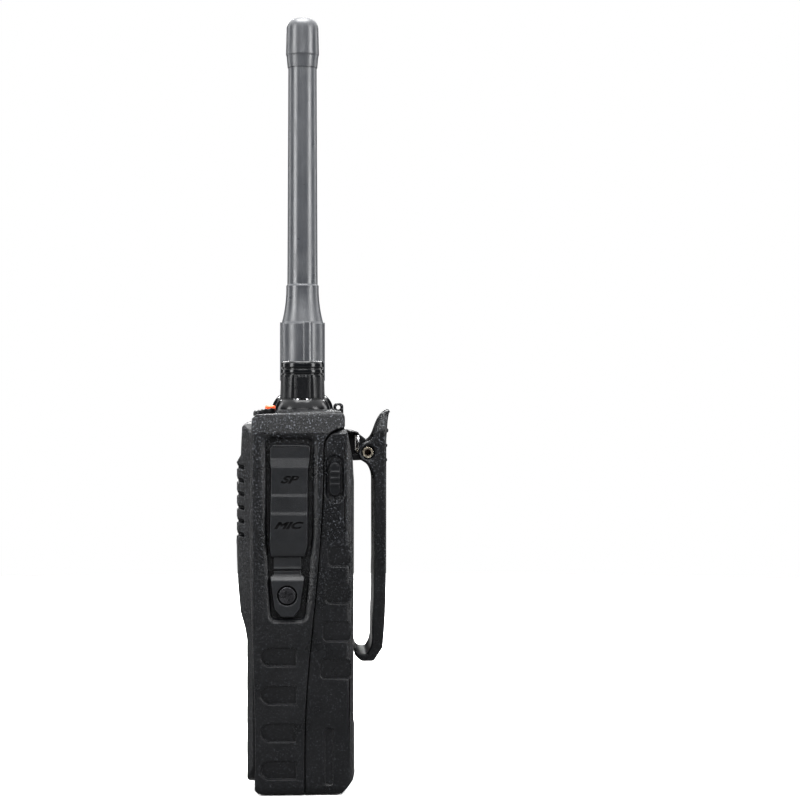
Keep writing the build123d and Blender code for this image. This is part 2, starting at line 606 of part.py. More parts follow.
with BuildPart() as ptt_key:
    slab(facing_left(-25.9), PTT_W + 2.0, PTT_H + 2.0, 0.6, (-PTT_Y, PTT_Z), 2.0)
    slab(facing_left(-26.5), PTT_W, PTT_H, PTT_FACE - 26.5, (-PTT_Y, PTT_Z), 1.7)
    fillet(ptt_key.edges().group_by(Axis.X)[0], 0.9)
    for z in (92.2, 88.8, 85.5, 82.1):
        with BuildSketch(facing_left(0.3 - PTT_FACE)):
            with BuildLine():
                Line((-PTT_Y - 3.4, z), (-PTT_Y + 3.4, z))
                ThreePointArc((-PTT_Y - 3.4, z), (-PTT_Y, z - 1.7), (-PTT_Y + 3.4, z))
            make_face()
        extrude(amount=0.8, taper=20)
keep(ptt_key, "ptt_key")

for name, z in zip(("side_key_upper", "side_key_lower"), SIDE_KEY_Z):
    with BuildPart() as side_key:
        slab(facing_left(-25.9), SIDE_KEY + 1.6, SIDE_KEY + 1.6, 0.6, (-PTT_Y, z), 1.6)
        slab(facing_left(-26.5), SIDE_KEY, SIDE_KEY, 3.4, (-PTT_Y, z), 1.6)
        fillet(side_key.edges().group_by(Axis.X)[0], 0.8)
    keep(side_key, name)

with BuildPart() as round_key:
    with Locations((-26.2, PTT_Y, ROUND_KEY_Z)):
        Cylinder(ROUND_KEY_R + 0.9, 0.6, rotation=(0, 90, 0))
    with Locations((-28.1, PTT_Y, ROUND_KEY_Z)):
        Cylinder(ROUND_KEY_R, 3.6, rotation=(0, 90, 0))
    fillet(round_key.edges().group_by(Axis.X)[0], 1.4)
keep(round_key, "round_key")

with BuildPart() as side_switches:
    slab(facing_left(-22.6), 9.0, 58, 0.8, (-PTT_Y, 82), 0.8)
    for z in (ROUND_KEY_Z, PTT_Z, *SIDE_KEY_Z):
        slab(facing_left(-23.4), 5.0, 5.0, 0.9, (-PTT_Y, z), 0.5)
keep(side_switches, "side_switches")

# Accessory side: two sockets, the foot of the rubber cover, its flap and its screw
for name, z, bore, collar in (
    ("speaker_jack", SPEAKER_JACK_Z, SPEAKER_JACK_R, 3.4), ("mic_jack", MIC_JACK_Z, MIC_JACK_R, 2.8),
):
    with BuildPart() as jack:
        with Locations((18.2, JACK_Y, z)):
            Box(12.0, 7.6, 8.0)
        with Locations((25.1, JACK_Y, z)):
            Cylinder(collar, 2.0, rotation=(0, 90, 0))
        with Locations((20.1, JACK_Y, z)):
            Cylinder(bore, 12.2, rotation=(0, 90, 0), mode=Mode.SUBTRACT)
    keep(jack, name)

with BuildPart() as cover_foot:
    with BuildSketch(Plane.YZ.offset(COVER_BACK)):
        with BuildLine():
            Polyline(
                (-10.5, 69.0), (1.1, 69.0), (-0.6, 58.0), (-2.6, 55.5), (-6.8, 55.5), (-9.0, 58.0), close=True,
            )
        make_face()
        fillet(vertices(), 1.2)
    extrude(amount=COVER_FACE - COVER_BACK, taper=8)
    with BuildSketch(Plane.XZ):
        with BuildLine():
            Polyline((FAR, 66.4), (COVER_FACE, 67.2), (COVER_FACE - 1.2, 68.6), (FAR, FAR * 2), close=True)
        make_face()
    extrude(amount=FAR, both=True, mode=Mode.SUBTRACT)
    slab(Plane.YZ.offset(COVER_BACK), 8.6, 1.5, FLAP_HINGE_X - COVER_BACK, (NECK_Y, 69.55))
    with Locations((28.4, COVER_SCREW_Y, COVER_SCREW_Z)):
        Cylinder(3.1, 2.4, rotation=(0, 90, 0), mode=Mode.SUBTRACT)
    with Locations((26.6, COVER_SCREW_Y, COVER_SCREW_Z)):
        Cylinder(1.7, 4, rotation=(0, 90, 0), mode=Mode.SUBTRACT)
keep(cover_foot, "cover_foot")

with BuildPart() as cover_screw:
    with Locations((28.05, COVER_SCREW_Y, COVER_SCREW_Z)):
        Cylinder(2.9, 1.7, rotation=(0, 90, 0))
    fillet(cover_screw.edges().group_by(Axis.X)[-1], 0.6)
    with Locations((25.3, COVER_SCREW_Y, COVER_SCREW_Z)):
        Cylinder(1.3, 4.0, rotation=(0, 90, 0))
    for turn in (20, 110):
        with Locations((28.6, COVER_SCREW_Y, COVER_SCREW_Z)):
            Box(1.2, 0.8, 3.6, rotation=(turn, 0, 0), mode=Mode.SUBTRACT)
keep(cover_screw, "cover_screw")

# The flap: a finger lip at the top, three steps that stand further out downwards, and a thin neck
with BuildPart() as cover_flap:
    with BuildSketch(Plane.YZ.offset(COVER_BACK)):
        with BuildLine():
            Polyline(
                (-10.3, FLAP_TOP), (2.7, FLAP_TOP), (2.3, 103.5), (1.9, 101.6), (1.9, 78), (0.9, 74.4),
                (-10.1, 74.4), (-10.6, 78), (-10.0, 101.6), (-10.3, 103.5), close=True,
            )
        make_face()
        fillet(vertices().group_by(Axis.Y)[-1], 1.6)
    extrude(amount=4, taper=7)
    with BuildSketch(Plane.XZ):
        with BuildLine():
            Polyline(
                (28.9, 75.6), (28.2, 74.4), (COVER_BACK, 74.4), (COVER_BACK, FLAP_TOP), (28.0, FLAP_TOP),
                (28.3, 109.0), (28.3, 105.4), (29.0, 102.3), (29.0, 94.2), (29.3, 93.3), (29.3, 88.6),
                (29.6, 87.6), (29.6, 80.5),
            )
            Spline((29.6, 80.5), (29.4, 78.0), (28.9, 75.6))
        make_face()
    extrude(amount=FAR, both=True, mode=Mode.INTERSECT)
    slab(
        Plane.YZ.offset(COVER_BACK), 8.6, 3.6, FLAP_HINGE_X - COVER_BACK, (NECK_Y, FLAP_HINGE_Z + 1.8),
    )
    with Locations((FLAP_HINGE_X, NECK_Y, FLAP_HINGE_Z)):
        Cylinder(0.4, 8.6, rotation=(90, 0, 0))
    with Locations((25.4, JACK_Y, SPEAKER_JACK_Z)):
        Cylinder(SPEAKER_JACK_R - 0.3, 2.2, rotation=(0, 90, 0))
    with Locations((25.9, JACK_Y, MIC_JACK_Z)):
        Cylinder(MIC_JACK_R - 0.3, 1.2, rotation=(0, 90, 0))
keep(cover_flap, "cover_flap")

# Top key on its serrated pad, and the status lamp
with BuildPart() as top_pad:
    slab(Plane.XY.offset(118.4), 16.6, 7.8, 2.6, (0, -11.9), 2.8)
    # its top climbs towards the key in four ridges
    with BuildSketch(Plane.YZ):
        with BuildLine():
            ridges = [(-16.0, 119.3)]
            for step in range(4):
                ridges += [(-15.4 + 1.2 * step, 120.1 + 0.25 * step), (-14.9 + 1.2 * step, 119.8 + 0.25 * step)]
            Polyline(*ridges, (-10.0, 120.9), (-7.9, 120.6), (-7.9, 118.0), (-16.0, 118.0), close=True)
        make_face()
    extrude(amount=10, both=True, mode=Mode.INTERSECT)
    slab(Plane.XY.offset(117), 9.0, 4.0, 5, (0, TOP_KEY_Y), 1.1, Mode.SUBTRACT)
keep(top_pad, "top_pad")

with BuildPart() as top_key:
    slab(Plane.XY.offset(114.2), 8.4, 3.4, TOP_KEY_TOP - 114.2, (0, TOP_KEY_Y), 0.9)
    fillet(top_key.edges().group_by(Axis.Z)[-1], 0.7)
keep(top_key, "top_key")

with BuildPart() as top_switch:
    slab(Plane.XY.offset(109.6), 6.4, 3.0, 3.6, (0, TOP_KEY_Y), 0.4)
keep(top_switch, "top_switch")

with BuildPart() as status_lamp:
    with Locations((0, -3.4, 117.8)):
        Cylinder(1.4, 4.0)
    fillet(status_lamp.edges().group_by(Axis.Z)[-1], 0.6)
keep(status_lamp, "status_lamp")

# Spring contacts of the radio, standing through the chassis towards the pack
with BuildPart() as radio_contacts:
    slab(facing_front(-3.2), 26, 12, 1.6, (0, 33))
    for x in (-9, 0, 9):
        slab(facing_front(1.25), 3.6, 7.0, 5.0, (x, 33), 0.6)
keep(radio_contacts, "radio_contacts")

# Battery pack: shell, cells, contacts, label and the two latches
with BuildPart() as pack_shell:
    with BuildSketch(Plane.YZ):
        pack_outline()
    extrude(amount=PACK_HALF, both=True)
    with BuildSketch(Plane.XZ):
        with BuildLine():
            Polyline(
                (-CASE_FOOT_HALF + 0.5, 0), (-PACK_HALF, 44), (-PACK_HALF, 112.9), (-27.0, PACK_TOP + 0.1),
                (27.0, PACK_TOP + 0.1), (PACK_HALF, 112.9), (PACK_HALF, 44), (CASE_FOOT_HALF - 0.5, 0), close=True,
            )
        make_face()
        fillet(vertices().group_by(Axis.Y)[0], 3.0)
    extrude(amount=FAR, both=True, mode=Mode.INTERSECT)
    with BuildSketch(Plane.XY):
        with Locations((0, 0)):
            Rectangle(2 * PACK_HALF, 2 * (PACK_BACK + 0.3))
        fillet(vertices().group_by(Axis.Y)[-1], 3.6)
    extrude(amount=FAR * 3, both=True, mode=Mode.INTERSECT)
    # space for the cells
    with BuildSketch(Plane.YZ):
        with BuildLine():
            Polyline((3.0, 4), (13.6, 4), (13.9, 90), (8.8, 90), (7.6, 70), (5.2, 50), (3.4, 32), close=True)
        make_face()
    extrude(amount=23.4, both=True, mode=Mode.SUBTRACT)
    # shallow seats for the contacts and the label
    for x in (-9, 0, 9):
        with Locations((x, 1.6, 33)):
            Box(5.2, 1.2, 9.0, mode=Mode.SUBTRACT)
    slab(
        facing_front(PACK_BACK + 1), LABEL_W + 0.4, LABEL_H + 0.4, 1.25, (0, LABEL_Z), 1.4, Mode.SUBTRACT,
    )
    for side in (-1, 1):
        # four grip pockets down each back edge, and a rail groove under them
        for z in POCKET_Z:
            skin = min(PACK_HALF, CASE_FOOT_HALF - 0.5 + 0.7 * z / 44)
            front_y = 8.0 - (POCKET_Z[0] - z) * 0.07
            with BuildSketch(scoop(side, skin - 0.85, 11.6, z, 0.05)):
                with Locations((side * (front_y + 15.0 - 23.2) / 2, 0)):
                    RectangleRounded(15.0 - front_y, POCKET_H, 1.3)
            extrude(amount=4, mode=Mode.SUBTRACT)
        with BuildSketch(facing_side(side, PACK_HALF - 1.1)):
            with Locations((side * 8.3, 12)):
                RectangleRounded(2.4, 17.6, 0.8)
        extrude(amount=2, taper=-14, mode=Mode.SUBTRACT)
        # pocket of the latch, with a bevelled rim and a slot for its peg
        with BuildSketch(facing_side(side, PACK_HALF - 0.9)):
            with Locations((side * LATCH_Y, LATCH_Z + 0.1)):
                SlotOverall(14.0, 4.8, rotation=90)
        extrude(amount=1.4, taper=-38, mode=Mode.SUBTRACT)
        with BuildSketch(facing_side(side, PACK_HALF - 3.4)):
            with Locations((side * LATCH_Y, LATCH_Z - LATCH_TRAVEL / 2)):
                Rectangle(2.2, 6.0 + LATCH_TRAVEL)
        extrude(amount=4, mode=Mode.SUBTRACT)
    # screw holes of the clip's bracket
    for x in (-BRACKET_SCREW_X, BRACKET_SCREW_X):
        with Locations((x, 14, BRACKET_SCREW_Z)):
            Cylinder(1.1, 9, rotation=(90, 0, 0), mode=Mode.SUBTRACT)
keep(pack_shell, "pack_shell")

with BuildPart() as pack_cells:
    for x in (-11.6, 11.6):
        slab(facing_front(13.4), 22.4, 52, 4.6, (x, 60.8), 1.5)
        slab(facing_front(13.4), 22.4, 26, 7.6, (x, 18.5), 1.5)
keep(pack_cells, "pack_cells")

with BuildPart() as pack_contacts:
    for x in (-9, 0, 9):
        slab(facing_front(2.2), 4.8, 8.6, 0.4, (x, 33), 0.5)
keep(pack_contacts, "pack_contacts")

with BuildPart() as pack_label:
    slab(facing_front(PACK_BACK - 0.05), LABEL_W, LABEL_H, 0.18, (0, LABEL_Z), 1.2)
keep(pack_label, "pack_label")

for side, name in ((1, "latch_right"), (-1, "latch_left")):
    with BuildPart() as latch:
        with BuildSketch(facing_side(side, PACK_HALF - 0.7)):
            with Locations((side * LATCH_Y, LATCH_Z)):
                SlotOverall(LATCH_H, LATCH_W, rotation=90)
        extrude(amount=1.2, taper=14)
        for rib in (-1.9, 0, 1.9):
            with BuildSketch(facing_side(side, PACK_HALF + 0.3)):
                with Locations((side * LATCH_Y, LATCH_Z + 0.2 + rib)):
                    SlotOverall(2.9, 0.8)
            extrude(amount=0.6)
        with Locations((side * (PACK_HALF - 1.6), LATCH_Y, LATCH_Z)):
            Box(2.4, 1.6, 5.0)
    keep(latch, name)

# Bracket that carries the belt clip, with its two screws
with BuildPart() as clip_bracket:
    with BuildSketch(Plane.YZ):
        with BuildLine():
            Polyline(
                (15.95, 104.3), (18.6, 104.4), (PIN_Y + 1.2, 104.8), (PIN_Y + 2.3, PIN_Z),
                (PIN_Y + 1.2, 109.6), (17.6, 113.1), (16.8, 113.6), (14.3, 113.9), close=True,
            )
        make_face()
        fillet(vertices().sort_by(Axis.X)[-3:], 0.8)
    extrude(amount=BRACKET_HALF, both=True)
    slab(facing_front(FAR), 2 * BRACKET_EAR_FROM, 20, FAR - 17.6, (0, 108), 0, Mode.SUBTRACT)
    # openings behind the ears, where the legs of the spring stand
    for side in (-1, 1):
        with Locations((side * SPRING_LEG_X, SPRING_LEG_Y - 0.7, 109.6)):
            Box(5.8, 3.7, 6.8, mode=Mode.SUBTRACT)
    with Locations((0, PIN_Y, PIN_Z)):
        Cylinder(PIN_R, FAR, rotation=(0, 90, 0), mode=Mode.SUBTRACT)
    for x in (-BRACKET_SCREW_X, BRACKET_SCREW_X):
        with Locations((x, 17, BRACKET_SCREW_Z)):
            Cylinder(1.1, 9, rotation=(90, 0, 0), mode=Mode.SUBTRACT)
keep(clip_bracket, "clip_bracket")

with BuildPart() as bracket_screws:
    for x in (-BRACKET_SCREW_X, BRACKET_SCREW_X):
        with Locations((x, 18.2, BRACKET_SCREW_Z)):
            Cylinder(2.0, 1.2, rotation=(90, 0, 0))
        with Locations((x, 15.2, BRACKET_SCREW_Z)):
            Cylinder(1.1, 4.8, rotation=(90, 0, 0))
        with Locations((x, 18.7, BRACKET_SCREW_Z)):
            Box(2.4, 0.8, 0.5, mode=Mode.SUBTRACT)
keep(bracket_screws, "bracket_screws")

with BuildPart() as clip_pin:
    with Locations((0, PIN_Y, PIN_Z)):
        Cylinder(PIN_R, 2 * CLIP_HALF - 0.8, rotation=(0, 90, 0))
    with Locations((CLIP_HALF, PIN_Y, PIN_Z)):
        Cylinder(0.9, 6, rotation=(0, 90, 0), mode=Mode.SUBTRACT)
keep(clip_pin, "clip_pin")

# Torsion spring: two coils round the pin, each with a leg that stands against the battery pack
with BuildPart() as clip_spring:
    for side in (-1, 1):
        with Locations((side * SPRING_X, PIN_Y, PIN_Z)):
            Cylinder(SPRING_R + SPRING_WIRE / 2, SPRING_W, rotation=(0, 90, 0))
    with Locations((0, PIN_Y, PIN_Z)):
        Cylinder(SPRING_R - SPRING_WIRE / 2, 20, rotation=(0, 90, 0), mode=Mode.SUBTRACT)
    for side in (-1, 1):
        with BuildLine() as leg:
            FilletPolyline(
                (side * SPRING_X, PIN_Y - SPRING_R, PIN_Z), (side * 10.6, PIN_Y - SPRING_R, PIN_Z),
                (side * SPRING_LEG_X, SPRING_LEG_Y, PIN_Z + 0.3), (side * SPRING_LEG_X, SPRING_LEG_Y, SPRING_LEG_TOP),
                radius=0.8,
            )
        with BuildSketch(Plane(origin=leg.line @ 0, z_dir=leg.line % 0)) as wire:
            Circle(SPRING_WIRE / 2 - SPRING_LEG_THINNER)
        sweep(wire.sketch, path=leg.line)
keep(clip_spring, "clip_spring")

with BuildPart() as belt_clip:
    with BuildSketch(Plane.YZ):
        with BuildLine():
            Spline(
                (28.0, 120.2), (27.3, 118.1), (26.9, 115.0), (26.5, 110.0), (CLIP_OUTSIDE, 104.0),
                (CLIP_OUTSIDE + 0.1, 86.0), (CLIP_OUTSIDE + 0.1, 66.0), (26.2, 54.7), (25.5, 44.6),
            )
            Polyline((25.5, 44.6), (22.7, CLIP_FOOT), (18.7, CLIP_FOOT), (16.5, 42.3), (16.5, 44.3))
            Polyline((16.5, 44.3), (16.8, 44.5), (18.1, 42.8), (20.3, 42.6))
            Spline((20.3, 42.6), (21.4, 44.2), (22.1, 50.0), (22.5, 60.0), (CLIP_INSIDE, 72.0))
            Line((CLIP_INSIDE, 72.0), (CLIP_INSIDE, 98.0))
            Spline((CLIP_INSIDE, 98.0), (21.6, 101.8), (18.6, 104.4))
            ThreePointArc((18.6, 104.4), (PIN_Y - 3.1, 107.6), (20.8, 110.4))
            Spline((20.8, 110.4), (22.5, 112.0), (23.5, 114.4), (24.5, 117.0), (26.0, 119.3), (27.5, 120.5))
            Line((27.5, 120.5), (28.0, 120.2))
        make_face()
    extrude(amount=CLIP_HALF, both=True)
    with BuildSketch(Plane.XZ):
        with BuildLine():
            Polyline(
                (-13.2, 38), (-16.5, 60), (-CLIP_HALF, 98), (-CLIP_HALF, 114), (-15.5, 122), (15.5, 122),
                (CLIP_HALF, 114), (CLIP_HALF, 98), (16.5, 60), (13.2, 38), close=True,
            )
        make_face()
        fillet(vertices(), 2.5)
    extrude(amount=FAR, both=True, mode=Mode.INTERSECT)
    with BuildSketch(Plane.XY):
        with BuildLine():
            ThreePointArc((-24, 25.2), (0, 28.3), (24, 25.2))
            Polyline((24, 25.2), (24, 10), (-24, 10), (-24, 25.2))
        make_face()
    extrude(amount=FAR * 3, mode=Mode.INTERSECT)
    # finger ribs across the thumb tab
    for y, z in ((26.5, 113.8), (26.1, 109.0), (26.0, 104.4)):
        with Locations((0, y, z)):
            Cylinder(0.8, 24, rotation=(0, 90, 0))
    # room for the bracket between the ears
    with BuildSketch(Plane.YZ):
        with Locations((0, 105.4)):
            Rectangle(2 * 23.6, 13.6)
    extrude(amount=CLIP_EAR_FROM, both=True, mode=Mode.SUBTRACT)
    with Locations((0, PIN_Y, PIN_Z)):
        Cylinder(PIN_R + 0.05, FAR, rotation=(0, 90, 0), mode=Mode.SUBTRACT)
    for side in (-1, 1):
        with Locations((side * CLIP_HALF, PIN_Y, PIN_Z)):
            Cylinder(2.3, 1.2, rotation=(0, 90, 0), mode=Mode.SUBTRACT)
keep(belt_clip, "belt_clip")
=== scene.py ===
"""Looks of the two-way radio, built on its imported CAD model."""

import json
from math import cos, pi, radians, sin

import bmesh
import bpy
from mathutils import Matrix, Vector
from mathutils.bvhtree import BVHTree


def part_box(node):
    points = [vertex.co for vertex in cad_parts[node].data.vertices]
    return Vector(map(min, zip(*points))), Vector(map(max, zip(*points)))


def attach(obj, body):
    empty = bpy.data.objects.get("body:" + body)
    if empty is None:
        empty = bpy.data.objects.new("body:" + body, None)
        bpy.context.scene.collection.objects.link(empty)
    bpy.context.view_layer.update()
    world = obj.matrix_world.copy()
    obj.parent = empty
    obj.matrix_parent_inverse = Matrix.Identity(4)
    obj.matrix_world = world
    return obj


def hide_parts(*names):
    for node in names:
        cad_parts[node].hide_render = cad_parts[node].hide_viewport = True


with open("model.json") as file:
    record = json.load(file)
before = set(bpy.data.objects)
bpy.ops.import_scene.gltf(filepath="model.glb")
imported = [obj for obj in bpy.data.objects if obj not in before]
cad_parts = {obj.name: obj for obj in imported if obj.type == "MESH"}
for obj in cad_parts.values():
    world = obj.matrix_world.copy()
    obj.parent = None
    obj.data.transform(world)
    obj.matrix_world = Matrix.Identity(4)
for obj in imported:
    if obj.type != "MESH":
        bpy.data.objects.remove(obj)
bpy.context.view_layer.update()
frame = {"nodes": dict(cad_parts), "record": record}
MM = 0.001
TOWER_X = 16.0
KNOB_RINGS_Z = 130.9
PIN_Y, PIN_Z = 20.7, 106.9
LEG_X, LEG_Y, LEG_TOP = 14.7, 16.85, 112.2
# The seam between the case and the battery pack, seen from the side: (y, z) pairs, then an arc
SEAM = ((0.6, 0.4), (0.8, 24.0), (2.1, 43.0), (3.8, 60.0), (5.5, 80.0), (6.4, 97.0), (6.5, 108.5))
SEAM_RADIUS, SEAM_ARC = 6.22, 78.0
SEAM_STEPS, SEAM_ARC_STEPS = 6, 8
# place and size of the dark strips behind the seam, which stand for the shade in the joint
SHADE_STRIP_X, SHADE_STRIP_WIDE, SHADE_STRIP_THICK = 24.2, 1.2, 0.4


# ---------------------------------------------------------------- materials

class Shader:
    """A Principled material whose texture nodes work in millimetres of the object."""

    def __init__(self, name):
        self.material = bpy.data.materials.new(name)
        self.material.use_nodes = True
        self.nodes = self.material.node_tree.nodes
        self.links = self.material.node_tree.links
        self.surface = self.nodes["Principled BSDF"]
        place = self.nodes.new("ShaderNodeTexCoord")
        scale = self.nodes.new("ShaderNodeMapping")
        scale.inputs["Scale"].default_value = (1000, 1000, 1000)
        self.links.new(place.outputs["Object"], scale.inputs["Vector"])
        self.place = scale.outputs["Vector"]

    def stretched(self, factors):
        """Millimetre coordinates scaled by a factor along each axis."""
        node = self.nodes.new("ShaderNodeMapping")
        node.inputs["Scale"].default_value = factors
        self.links.new(self.place, node.inputs["Vector"])
        return node.outputs["Vector"]

    def noise(self, size, detail=2.0, roughness=0.5, place=None):
        """Noise whose blobs are about size millimetres."""
        node = self.nodes.new("ShaderNodeTexNoise")
        node.inputs["Scale"].default_value = 1.0 / size
        node.inputs["Detail"].default_value = detail
        node.inputs["Roughness"].default_value = roughness
        self.links.new(place or self.place, node.inputs["Vector"])
        return node.outputs["Fac"]

    def cells(self, size, feature="F1"):
        """Distance from the centres of random cells of about size millimetres."""
        node = self.nodes.new("ShaderNodeTexVoronoi")
        node.feature = feature
        node.inputs["Scale"].default_value = 1.0 / size
        self.links.new(self.place, node.inputs["Vector"])
        return node.outputs["Distance"]

    def ramp(self, value, low, high, to_low=0.0, to_high=1.0):
        """value between low and high, mapped to between to_low and to_high."""
        node = self.nodes.new("ShaderNodeMapRange")
        for name, number in (("From Min", low), ("From Max", high), ("To Min", to_low), ("To Max", to_high)):
            node.inputs[name].default_value = number
        self.links.new(value, node.inputs["Value"])
        return node.outputs["Result"]

    def maths(self, kind, first, second):
        """One sum of two values, each a socket or a number."""
        node = self.nodes.new("ShaderNodeMath")
        node.operation = kind
        for socket, value in zip(node.inputs, (first, second)):
            if isinstance(value, (int, float)):
                socket.default_value = value
            else:
                self.links.new(value, socket)
        return node.outputs[0]

    def mix(self, factor, first, second):
        """A colour between two, each a socket or an (r, g, b)."""
        node = self.nodes.new("ShaderNodeMix")
        node.data_type = "RGBA"
        self.links.new(factor, node.inputs["Factor"])
        for socket, colour in ((node.inputs[6], first), (node.inputs[7], second)):
            if isinstance(colour, tuple):
                socket.default_value = (*colour, 1)
            else:
                self.links.new(colour, socket)
        return node.outputs[2]

    def bump(self, height, depth, strength=1.0):
        """Adds relief depth millimetres deep on top of any that is there already."""
        node = self.nodes.new("ShaderNodeBump")
        node.inputs["Strength"].default_value = strength
        node.inputs["Distance"].default_value = depth * MM
        self.links.new(height, node.inputs["Height"])
        if self.surface.inputs["Normal"].is_linked:
            self.links.new(self.surface.inputs["Normal"].links[0].from_socket, node.inputs["Normal"])
        self.links.new(node.outputs["Normal"], self.surface.inputs["Normal"])

    def rounded(self, radius):
        """Softens the edges of the shading, as if they were rounded to radius millimetres."""
        node = self.nodes.new("ShaderNodeBevel")
        node.samples = 4
        node.inputs["Radius"].default_value = radius * MM
        self.links.new(node.outputs["Normal"], self.surface.inputs["Normal"])

    def axes(self):
        """The x, y and z of the place, in millimetres."""
        node = self.nodes.new("ShaderNodeSeparateXYZ")
        self.links.new(self.place, node.inputs["Vector"])
        return node.outputs[0], node.outputs[1], node.outputs[2]

    def colour(self, value):
        if isinstance(value, tuple):
            self.surface.inputs["Base Color"].default_value = (*value, 1)
        else:
            self.links.new(value, self.surface.inputs["Base Color"])

    def rough(self, value):
        self.links.new(value, self.surface.inputs["Roughness"])


POLISHED_ROUGH = 0.19


def moulded(name, dark, light, grain, depth, rough, edge=0.25, level=0.2, polished=None, painted_glint=None):
    """Moulded plastic with a spark-eroded grain, handling scuffs and rubbed patches.

    polished(shader) gives a value that is 1 where the mould was polished and 0 where it was eroded;
    fleck is the colour of fine points that stand for the glints of the grain. They are painted on, because
    the bump alone sparkles too little under these lights.
    """
    shader = Shader(name)
    shader.rounded(edge)
    cloud = shader.noise(14, 3)
    scuffs = shader.noise(1.1, 4, 0.65, shader.stretched((1.0, 0.9, 0.16)))
    rubbed = shader.ramp(shader.noise(26, 2), 0.52, 0.74)
    marks = shader.maths("MULTIPLY", shader.ramp(scuffs, 0.6, 0.75), rubbed)
    wear_and_painted_glints = shader.mix(shader.maths("MAXIMUM", shader.ramp(cloud, 0.35, 0.75, 0, 0.7), marks), dark, light)
    base = shader.ramp(cloud, 0.3, 0.7, rough - 0.05, rough + 0.07)
    base = shader.maths("SUBTRACT", base, shader.maths("MULTIPLY", rubbed, 0.07))
    coarse, fine = shader.noise(grain, 3, 0.65), shader.noise(grain * 0.45, 2, 0.6)
    if painted_glint:
        glints = shader.ramp(shader.noise(PAINTED_GLINT_SIZE, 2, 0.7), 0.58, 0.68)
        fade = shader.ramp(shader.axes()[2], *PAINTED_GLINT_HEIGHTS, PAINTED_GLINT_LEAST, 1)
        glints = shader.maths("MULTIPLY", glints, fade)
        if polished:
            glints = shader.maths("MULTIPLY", glints, shader.maths("SUBTRACT", 1.0, polished(shader)))
        # the painted highlights of the glints go into the colour here, over the wear
        wear_and_painted_glints = shader.mix(glints, wear_and_painted_glints, painted_glint)
        base = shader.maths("SUBTRACT", base, shader.maths("MULTIPLY", glints, 0.08))
    shader.colour(wear_and_painted_glints)
    if polished:
        eroded = shader.maths("SUBTRACT", 1.0, polished(shader))
        drop = shader.maths("MULTIPLY", polished(shader), rough - POLISHED_ROUGH)
        base = shader.maths("SUBTRACT", base, drop)
        coarse, fine = shader.maths("MULTIPLY", coarse, eroded), shader.maths("MULTIPLY", fine, eroded)
    shader.rough(base)
    shader.surface.inputs["Specular IOR Level"].default_value = level
    shader.bump(coarse, depth)
    shader.bump(fine, depth * 0.4)
    return shader.material


def tower_mask(shader):
    """1 on the bell-shaped towers under the antenna and the knob, which are polished."""
    x, y, z = shader.axes()
    off = shader.maths("SUBTRACT", shader.maths("ABSOLUTE", x, 0), TOWER_X)
    squares = shader.maths("ADD", shader.maths("POWER", off, 2), shader.maths("POWER", y, 2))
    reach = shader.maths("SQRT", squares, 0)
    inside = shader.ramp(reach, 10.4, 10.0)
    return shader.maths("MULTIPLY", inside, shader.ramp(z, 120.0, 120.6))


def knob_mask(shader):
    """1 on the two polished rings at the top of the knob."""
    return shader.ramp(shader.axes()[2], KNOB_RINGS_Z - 0.15, KNOB_RINGS_Z + 0.05)


def rubber(name, dark, light, rough, grain=0.16, depth=0.02, edge=0.3, level=0.35):
    """Moulded rubber: soft sheen, a fine grain and a little dust."""
    shader = Shader(name)
    shader.rounded(edge)
    dust = shader.ramp(shader.noise(3.2, 5, 0.7), 0.48, 0.78, 0, 0.8)
    shader.colour(shader.mix(dust, dark, light))
    shader.rough(shader.ramp(shader.noise(7, 3), 0.3, 0.7, rough - 0.06, rough + 0.08))
    shader.surface.inputs["Specular IOR Level"].default_value = level
    shader.bump(shader.noise(grain, 2), depth)
    shader.bump(shader.noise(2.4, 2), 0.03, 0.5)
    return shader.material


def metal(name, bright, dull, rough, streak=(1, 1, 1), size=0.6, depth=0.006, edge=0.12):
    """Bare or plated metal with machining streaks and tarnish."""
    shader = Shader(name)
    shader.rounded(edge)
    tarnish = shader.ramp(shader.noise(2.6, 4, 0.6), 0.42, 0.72)
    shader.colour(shader.mix(tarnish, bright, dull))
    shader.surface.inputs["Metallic"].default_value = 1.0
    streaks = shader.noise(size, 3, 0.5, shader.stretched(streak))
    shader.rough(shader.ramp(streaks, 0.3, 0.7, rough - 0.08, rough + 0.12))
    shader.bump(shader.noise(size, 2, 0.5, shader.stretched(streak)), depth)
    return shader.material


# The third colour is that of the painted highlights: fine points that stand for the glints of the grain.
BLACK, BLACK_WORN, PAINTED_GLINT_COLOUR = (0.002, 0.0022, 0.0027), (0.004, 0.0043, 0.0052), (0.08, 0.085, 0.095)
